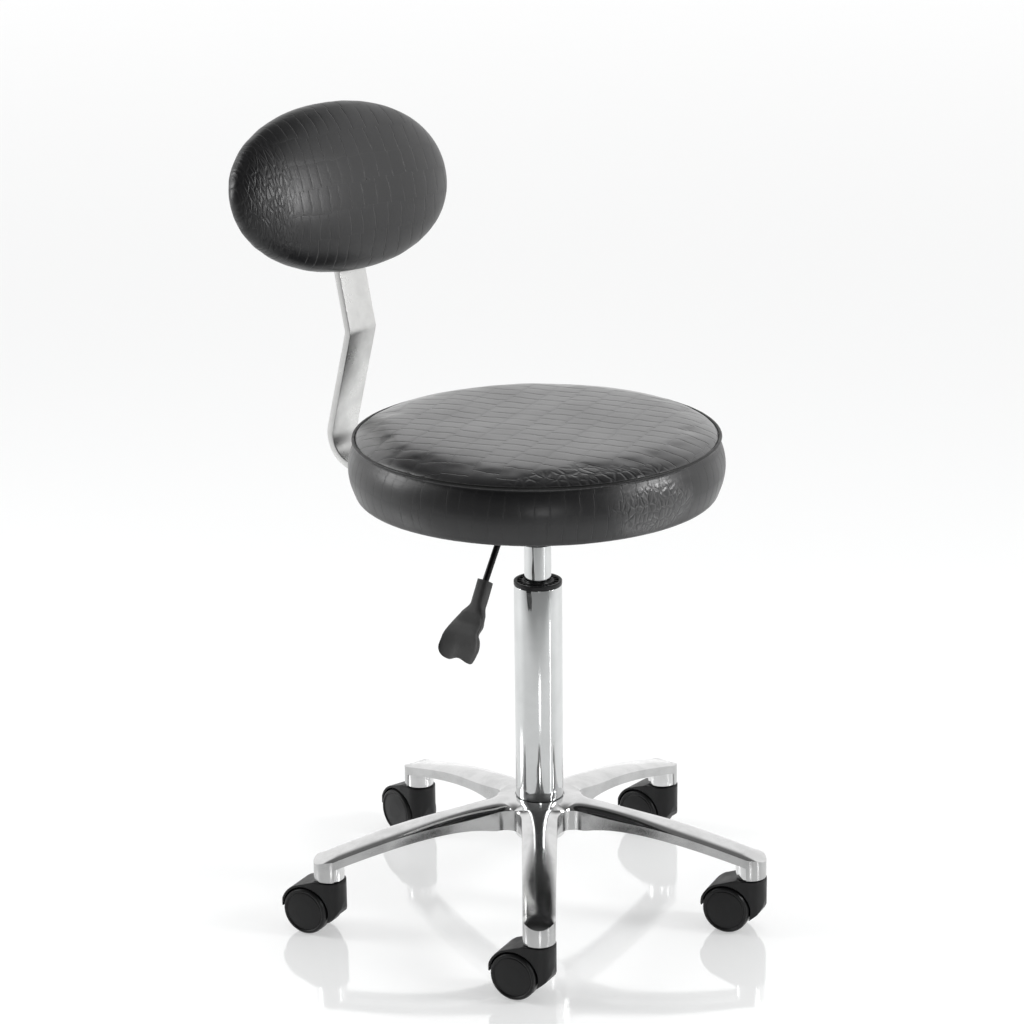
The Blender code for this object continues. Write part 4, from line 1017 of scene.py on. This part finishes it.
def oval_lathe(work, line, segments):
    """Like lathe, but round the pad's oval outline."""
    rings = lathe(work, line, segments)
    for ring in rings:
        for j, vert in enumerate(ring):
            radius = math.hypot(vert.co.x, vert.co.y)
            if radius > 0:
                vert.co.x, vert.co.y = oval(radius, 2 * math.pi * j / segments)
    return rings


def pad_line():
    """The pad cover's outer line from its crest over the rim to the hem behind the board."""
    points = [(0.0, PAD_CREST_H)]
    count = 26
    for step in range(1, count + 1):
        share = math.sin(math.pi / 2 * step / count)
        height = PAD_RIM_H + (PAD_CREST_H - PAD_RIM_H) * math.sqrt(max(1 - share**2.3, 0.0))
        points.append((PAD_HALF_H * share, height))
    rim_at = len(points) - 1
    back_h = PAD_BOARD_H - GAP - COVER
    rim = [(-0.0001, 0.0160), (0.0003, 0.0130), (0.0012, 0.0100), (0.0026, 0.0072), (0.0044, back_h + 0.0005)]
    hem = [(inset, back_h) for inset in (0.0070, 0.0140, 0.0220)]
    points += [(PAD_HALF_H - inset, height) for inset, height in rim + hem]
    return points, rim_at


def gather_pad(pad, index_ring, rim_at):
    """Slight gathers round the rim and a soft unevenness over the face."""
    for vert in pad.data.vertices:
        row = index_ring[vert.index]
        if row > rim_at + 4 or row == 0:
            continue
        turn = math.atan2(vert.co.y * PAD_HALF_W / PAD_HALF_H, vert.co.x)
        outward = Vector((vert.co.x, vert.co.y, 0)).normalized()
        near = math.exp(-max(rim_at - row, 0) / 3.5)
        vert.co += outward * (0.0009 * near * puckers(turn, 41.0))
        vert.co.z += 0.0010 * (1 - near) * noise.noise(vert.co * 12.0 + Vector((0, 0, 7.0)))


def make_pad():
    line, rim_at = pad_line()
    work = bmesh.new()
    rings = oval_lathe(work, line, 128)
    work.verts.index_update()
    pinned = {vert.index: 1.0 for ring in rings[rim_at + 4 :] for vert in ring}
    index_ring = {vert.index: i for i, ring in enumerate(rings) for vert in ring}
    pad = piece("backrest_pad", work, [PAD_VINYL])
    flat = pad.data.attributes.new("hide", "FLOAT_VECTOR", "POINT")
    flat.data.foreach_set("vector", [part for vert in pad.data.vertices for part in vert.co])
    pump(pad, pinned, PUMP_PRESSURE, PAD_SWELL)
    gather_pad(pad, index_ring, rim_at)
    thicken(pad)
    pad.data.transform(pad_frame())
    stand_in(pad, "seat", "backrest_cover")


def make_back_panel():
    """The vinyl-covered shell behind the pad, with a slot for the bar."""
    rim_h = PAD_BOARD_H - 2 * GAP - COVER
    panel_r = PAD_HALF_H - 0.0045
    back = []
    for share in (1.0, 0.996, 0.985, 0.965, 0.94, 0.90, 0.84, 0.76, 0.64, 0.48, 0.26, 0.0):
        back.append((panel_r * share, PAD_BACK_H + (rim_h - PAD_BACK_H) * share**7))
    inside = [(panel_r - PANEL_WALL, rim_h), (back[2][0] - PANEL_WALL, back[2][1] + 0.0006)]
    inside += [(max(radius - PANEL_WALL * 0.9, 0.0), height + PANEL_WALL) for radius, height in back[4:]]
    work = bmesh.new()
    oval_lathe(work, inside[::-1] + back, 120)
    panel = piece("backrest_back_panel", work, [PANEL_LOOK], pad_frame(), 45)
    low = Vector((-BAR_W / 2 - GAP, -0.12, -BAR_T / 2 - GAP))
    high = Vector((BAR_W / 2 + GAP, -0.05, rim_h + 0.004))
    work = bmesh.new()
    slot = Matrix.Translation((low + high) / 2) @ Matrix.Diagonal((*(high - low), 1))
    bmesh.ops.create_cube(work, size=1, matrix=slot)
    cut(panel, "DIFFERENCE", work, bar_frame())
    smooth(panel, 45)
    stand_in(panel, "seat", "backrest_rear_panel")


# ---- lever


def lever_line():
    """The rod's corner and its direction down to the handle, in the column's X, Z plane."""
    fall = math.radians(LEVER_FALL_DEG)
    return Vector((LEVER_CORNER_X, LEVER_Z)), Vector((-math.cos(fall), -math.sin(fall)))


def make_lever():
    corner, down = lever_line()
    end = corner + down * (SLEEVE_FROM_CORNER + ROD_IN_PADDLE)
    path = fillet([(LEVER_START_X, LEVER_Z, 0), (*corner, LEVER_BEND_R), (*end, 0)], 14, closed=False)
    turns = [2 * math.pi * j / 24 for j in range(24)]
    section = [(LEVER_ROD_R * math.cos(turn), LEVER_ROD_R * math.sin(turn)) for turn in turns]
    frames = []
    for i, spot in enumerate(path):
        ahead = (path[min(i + 1, len(path) - 1)] - path[max(i - 1, 0)]).normalized()
        along = Vector((ahead.x, 0, ahead.y))
        across = Vector((0, 1, 0))
        axes = Matrix((across, along.cross(across), along)).transposed().to_4x4()
        frames.append(Matrix.Translation((spot.x, 0, spot.y)) @ axes)
    work = bmesh.new()
    sweep(work, section, frames)
    rod = piece("lever_stem", work, [LOOKS["black_steel"]], AT_COLUMN)
    stand_in(rod, "lever", "lever_rod")
    make_paddle(corner, down)


def spline(knots, at):
    """A smooth cubic through knots of a position and its values, read at one position."""
    spots = [knot[0] for knot in knots]
    i = max(j for j in range(len(knots) - 1) if spots[j] <= at or j == 0)
    span = spots[i + 1] - spots[i]
    t = (at - spots[i]) / span
    values = []
    for part in range(1, len(knots[0])):
        p0 = knots[i][part]
        p1 = knots[i + 1][part]
        before = knots[max(i - 1, 0)]
        after = knots[min(i + 2, len(knots) - 1)]
        m0 = (p1 - before[part]) / max(spots[i + 1] - before[0], 1e-9) * span
        m1 = (after[part] - p0) / max(after[0] - spots[i], 1e-9) * span
        h00 = 2 * t**3 - 3 * t**2 + 1
        h10 = t**3 - 2 * t**2 + t
        h01 = -2 * t**3 + 3 * t**2
        h11 = t**3 - t**2
        values.append(h00 * p0 + h10 * m0 + h01 * p1 + h11 * m1)
    return values


def lobes(side):
    """How far the handle's end draws back at each place across it: two round lobes with a notch between."""
    if side > 0.35:
        return 0.0130 * (1 - math.sqrt(max(1 - ((side - 0.35) / 0.65) ** 2, 0.0)))
    if side < -0.71:
        return 0.0095 * (1 - math.sqrt(max(1 - ((-0.71 - side) / 0.29) ** 2, 0.0)))
    share = (side + 0.04) / (0.39 if side > -0.04 else 0.67)
    return 0.0034 * (1 - share * share) ** 2


def make_paddle(corner, down):
    """Square sleeve, a flat shoulder, a fold, then a thin dished spoon end.

    Each knot: place along, middle, half width, front height, thickness, dish.
    """
    knots = [
        (0.0, 0.0, 0.0070, 0.0073, 0.0146, 0.0),
        (0.0200, -0.0011, 0.0071, 0.0073, 0.0146, 0.0),
        (0.0270, -0.0013, 0.0079, 0.0068, 0.0130, 0.0),
        (0.0352, -0.0002, 0.0135, 0.0066, 0.0110, 0.0),
        (0.0375, 0.0003, 0.0148, 0.0066, 0.0100, 0.0010),
        (0.0462, 0.0030, 0.0196, 0.0072, 0.0075, 0.0050),
        (0.0556, 0.0040, 0.0216, 0.0085, 0.0045, 0.0050),
        (0.0637, 0.0012, 0.0250, 0.0100, 0.0032, 0.0042),
        (0.0728, -0.0010, 0.0260, 0.0113, 0.0030, 0.0032),
        (0.0817, -0.0016, 0.0256, 0.0120, 0.0028, 0.0022),
        (0.0866, -0.0018, 0.0250, 0.0122, 0.0026, 0.0016),
    ]
    length = knots[-1][0]
    steps = 60
    half = 14
    sides = [math.sin(math.pi / 2 * step / half) for step in range(-half, half + 1)]
    work = bmesh.new()
    loops = []
    for step in range(steps + 1):
        along = length * step / steps
        middle, half_w, front, thick, dish = spline(knots, along)
        bowl = 0.0012 * smoothstep(0.046, 0.066, along)

        def spot(side, face):
            level = front - thick / 2 + face * thick / 2 * max(1 - abs(side) ** 3.4, 0.0) ** 0.294
            level -= dish * smoothstep(-1.0, -0.80, side) + bowl * (1 - side * side)
            back = lobes(side) * (along / length) ** 6
            return work.verts.new((middle + half_w * side, along - back, level))

        top = [spot(side, 1) for side in sides]
        under = [spot(side, -1) for side in sides[1:-1]]
        loops.append(top + under[::-1])
    bridge(work, loops)
    for ends in (loops[0], loops[-1]):
        for j in range(2 * half):
            face = dict.fromkeys((ends[j], ends[j + 1], ends[-j - 1], ends[-j]))
            work.faces.new(tuple(face))
    start = corner + down * SLEEVE_FROM_CORNER
    across = Vector((0, 1, 0))
    along_axis = Vector((down.x, 0, down.y))
    axes = Matrix((across, along_axis, across.cross(along_axis))).transposed().to_4x4()
    place = AT_COLUMN @ Matrix.Translation((start.x, 0, start.y)) @ axes
    handle = piece("lever_handle", work, [LEVER_PLASTIC], place, 50)
    stand_in(handle, "lever", "lever_paddle")


# ---- casters


def put_in_order(obj):
    """Sorts a mesh's vertices and faces by place, because a Boolean leaves them in any order."""
    old = obj.data
    places = [tuple(vert.co) for vert in old.vertices]
    order = sorted(range(len(places)), key=places.__getitem__)
    rank = {index: new for new, index in enumerate(order)}
    faces = []
    for face in old.polygons:
        loop = [rank[index] for index in face.vertices]
        first = loop.index(min(loop))
        faces.append(loop[first:] + loop[:first])
    mesh = bpy.data.meshes.new(old.name)
    mesh.from_pydata([places[index] for index in order], [], sorted(faces))
    for look in old.materials:
        mesh.materials.append(look)
    obj.data = mesh


def housing_side():
    """The housing's side outline: head, hood over the wheels, web down to the axle."""
    top = HOUSING_TOP_Z
    outline = [(-HEAD_R, 0.0360), (-HEAD_R, top - 0.002), (-HEAD_R + 0.002, top), (0.0110, top)]
    for degrees in (62, 54, 46, 38, 30, 22, 14, 3):
        turn = math.radians(degrees)
        outline.append((AXLE_X + HOOD_R * math.cos(turn), WHEEL_R + HOOD_R * math.sin(turn)))
    outline += [(AXLE_X + HOOD_POCKET_R + 0.0002, 0.0262), (0.0335, 0.0230), (0.0270, 0.0170)]
    outline += [(0.0120, 0.0170), (0.0030, 0.0135), (-0.0050, 0.0160), (-0.0120, 0.0215), (-0.0160, 0.0285)]
    return outline


def housing_plan():
    """The housing seen from above: a round head, then the full width of the hood."""
    wide = HOUSING_HALF_W
    rear = AXLE_X + HOOD_R + 0.002
    turns = [math.radians(90 + 7.5 * step) for step in range(25)]
    plan = [(HEAD_R * math.cos(turn), HEAD_R * math.sin(turn)) for turn in turns]
    plan += [(0.012, -wide), (rear - 0.004, -wide), (rear, -wide + 0.006)]
    return plan + [(rear, wide - 0.006), (rear - 0.004, wide), (0.012, wide)]


def make_housing_mesh():
    """The housing once, in caster axes: side and plan outlines crossed, wheel pockets out, edges rounded."""
    half = HOUSING_HALF_W + 0.001
    work = bmesh.new()
    prism(work, [(x, -half, z) for x, z in housing_side()], (0, 2 * half, 0))
    body = piece("housing_shape", work, [LOOKS["black_plastic"]])
    work = bmesh.new()
    prism(work, [(x, y, 0) for x, y in housing_plan()], (0, 0, 0.08))
    cut(body, "INTERSECT", work)
    across = Matrix.Rotation(math.pi / 2, 4, "X")
    deep = 0.015
    work = bmesh.new()
    for side in (-1, 1):
        pocket = Matrix.Translation((AXLE_X, side * (WEB_HALF_W + deep), WHEEL_R)) @ across
        drum(work, 0, 0, -deep, deep, HOOD_POCKET_R, 72, at=pocket)
    cut(body, "DIFFERENCE", work)
    put_in_order(body)
    net = body.modifiers.new("net", "REMESH")
    net.mode = "VOXEL"
    net.voxel_size = 0.00055
    soft = body.modifiers.new("soft", "SMOOTH")
    soft.factor = 0.5
    soft.iterations = 5
    settle(body, 60)
    thin = body.modifiers.new("thin", "DECIMATE")
    thin.ratio = 0.28
    settle(body, 60)
    work = bmesh.new()
    drum(work, 0, 0, STEM_LOW_Z - GAP, 0.08, STEM_LOW_R + GAP, 28)
    drum(work, 0, 0, -0.02, 0.02, AXLE_R + GAP, 24, at=Matrix.Translation((AXLE_X, 0, WHEEL_R)) @ across)
    cut(body, "DIFFERENCE", work)
    smooth(body, 45)
    mesh = body.data
    bpy.data.objects.remove(body, do_unlink=True)
    return mesh


def wheel_line():
    """A wheel's (radius, distance out from the caster's middle) line, turned about the axle."""
    out = WHEEL_OUT_Y
    hub_r = AXLE_R + 0.0004
    corners = [(0, out - 0.0002, 0), (0.0100, out - 0.0004, 0.02), (0.0196, out - 0.0011, 0.0006)]
    corners += [(0.0204, out - 0.0017, 0.0004), (0.0211, out - 0.0011, 0.0006)]
    corners += [(0.0221, out - 0.0002, 0.0012), (0.0240, out - 0.0010, 0.0016)]
    corners += [(WHEEL_R, out - 0.0034, 0.0016), (WHEEL_R, WHEEL_IN_Y + 0.001, 0.0006)]
    corners += [(WHEEL_R - 0.001, WHEEL_IN_Y, 0.0006)]
    corners += [(hub_r, WHEEL_IN_Y, 0), (hub_r, out - 0.0035, 0), (0, out - 0.0035, 0)]
    return fillet(corners, closed=False)


def make_casters():
    housing = make_housing_mesh()
    for k in range(LEGS):
        name = f"caster_{k + 1}"
        swivel = JOINTS[f"{name}_swivel"]
        roll = JOINTS[f"{name}_left_roll"]
        stem = Vector((swivel["pos_m"][0], swivel["pos_m"][1], 0))
        axle_at = Vector(roll["pos_m"])
        trail = (axle_at - stem).to_2d()
        turn = Matrix.Rotation(math.atan2(trail.y, trail.x), 4, "Z")
        hood = bpy.data.objects.new(f"{name}_hood", housing.copy())
        bpy.context.scene.collection.objects.link(hood)
        hood.data.transform(Matrix.Translation(stem) @ turn)
        stand_in(hood, name, f"{name}_housing")
        for side, quarter in (("left", -1), ("right", 1)):
            node_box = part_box(f"{name}_wheel_{side}")
            middle = (node_box[0] + node_box[1]) / 2
            outward = (middle - axle_at).normalized()
            face_out = Matrix.Translation(axle_at) @ outward.to_track_quat("Z", "Y").to_matrix().to_4x4()
            work = bmesh.new()
            lathe(work, wheel_line(), 96)
            wheel = piece(f"{name}_tyre_{side}", work, [WHEEL_FACE], face_out, 40)
            stand_in(wheel, f"{name}_wheel_{side}", f"{name}_wheel_{side}")


# ---- stage, light, camera

# The view: turned from the stool's front, then right of, away from and above the column's foot.
VIEW_TURN = math.radians(52.0)
CAMERA_SPOT = (-0.025846, -3.160775, 1.427341)
CAMERA_PITCH_DEG = 17.453011
CAMERA_ROLL_DEG = -0.632551
CAMERA_LENS_MM = 113.97445


def from_view(right, away, up=0.0):
    """A column-relative point given as the camera sees it: to its right, away from it, up."""
    c = math.cos(VIEW_TURN)
    s = math.sin(VIEW_TURN)
    return Vector((right * c + away * s, -right * s + away * c, up))


def studio_spot(azimuth, distance, height):
    """A place round the stool, its azimuth in degrees to the right of the camera's side."""
    turn = math.radians(azimuth)
    return from_view(distance * math.sin(turn), -distance * math.cos(turn), height)


def make_camera():
    pitch = math.radians(CAMERA_PITCH_DEG)
    ahead = Vector((0, math.cos(pitch), -math.sin(pitch)))
    above = Vector((0, math.sin(pitch), math.cos(pitch)))
    right = Vector((1, 0, 0))
    roll = math.radians(CAMERA_ROLL_DEG)
    level = right * math.cos(roll) + above * math.sin(roll)
    upright = above * math.cos(roll) - right * math.sin(roll)
    axes = [from_view(*axis) for axis in (level, upright, -ahead)]
    place = Matrix(axes).transposed().to_4x4()
    place.translation = from_view(*CAMERA_SPOT) + COLUMN
    lens = bpy.data.cameras.new("camera")
    lens.sensor_width = 36.0
    lens.lens = CAMERA_LENS_MM
    lens.clip_start = 0.05
    lens.clip_end = 60
    camera = bpy.data.objects.new("camera", lens)
    bpy.context.scene.collection.objects.link(camera)
    camera.matrix_world = place
    bpy.context.scene.camera = camera


def make_floor():
    """A glossy white floor that glows a little further back, where the photographer's sweep was lit."""
    look = Look("pale_floor", (0.82, 0.83, 0.83), 0.07, IOR=2.3)
    look.put("Emission Color", (1.0, 1.0, 1.0, 1.0))
    inputs = {0: look.spot(), 1: from_view(0, 1)}
    away = look.node("VectorMath", inputs, operation="DOT_PRODUCT").outputs["Value"]
    look.put("Emission Strength", look.remap(away, -1.60, -0.60, 0.0, 0.37))
    look.put("Roughness", look.remap(look.noise(6.0, 3.0, 0.5), 0.3, 0.7, 0.05, 0.09))
    work = bmesh.new()
    lathe(work, [(0.0, 0.0), (1.0, 0.0), (4.0, 0.0), (14.0, 0.0)], 64, AT_COLUMN)
    floor = piece("studio_floor", work, [look.material])
    for face in floor.data.polygons:
        if face.normal.z < 0:
            floor.data.flip_normals()
            break


def make_world():
    """White cyclorama behind and around the stool, darker above and towards the camera."""
    world = bpy.data.worlds.new("studio")
    world.use_nodes = True
    bpy.context.scene.world = world
    world.node_tree.nodes.clear()
    sky = Nodes(world.node_tree)
    direction = sky.node("TexCoord").outputs["Generated"]
    height = sky.node("SeparateXYZ", {0: direction}).outputs["Z"]
    inputs = {0: direction, 1: from_view(0, 1)}
    behind = sky.node("VectorMath", inputs, operation="DOT_PRODUCT").outputs["Value"]
    low_back = sky.remap(height, 0.56, 0.78, 1.25, 0.20)
    low_front = sky.remap(height, 0.15, 0.50, 0.34, 0.09)
    around = sky.between(sky.remap(behind, -0.45, 0.25), low_front, low_back)
    seen = sky.times(sky.node("LightPath").outputs["Is Camera Ray"], 1.2)
    shade = sky.node("Background", {"Strength": sky.math("MAXIMUM", around, seen)}).outputs[0]
    sky.node("OutputWorld", {0: shade})


def area_light(name, spot, target, width, height, power, seen=True):
    """A soft box, which shines on its target and only shows in reflections."""
    data = bpy.data.lights.new(name, "AREA")
    data.shape = "RECTANGLE"
    data.size = width
    data.size_y = height
    data.energy = power
    light = bpy.data.objects.new(name, data)
    bpy.context.scene.collection.objects.link(light)
    place = COLUMN + spot
    aim = (COLUMN + target - place).to_track_quat("-Z", "Y").to_matrix().to_4x4()
    light.matrix_world = Matrix.Translation(place) @ aim
    light.visible_glossy = seen
    light.visible_camera = False


def make_lights():
    middle = Vector((0, 0, 0.40))
    area_light("overhead_fill", Vector((0, 0, 2.6)), Vector((0, 0, 0)), 2.6, 2.6, 8, seen=False)
    area_light("left_box", studio_spot(-98, 1.9, 1.25), middle, 0.7, 1.1, 12)
    area_light("right_box", studio_spot(76, 1.8, 1.35), middle, 0.40, 0.60, 13)
    area_light("right_strip", studio_spot(56, 1.9, 0.85), middle, 0.09, 1.5, 4)
    area_light("low_box", studio_spot(4, 1.9, 0.50), Vector((0, 0, 0.76)), 0.30, 0.30, 1.8)


make_base()
make_tube()
make_bush()
make_cylinder()
make_seat()
make_piping()
make_bar()
make_pad()
make_back_panel()
make_lever()
make_casters()
make_floor()
make_world()
make_lights()
make_camera()
bpy.context.scene.view_settings.view_transform = "Standard"
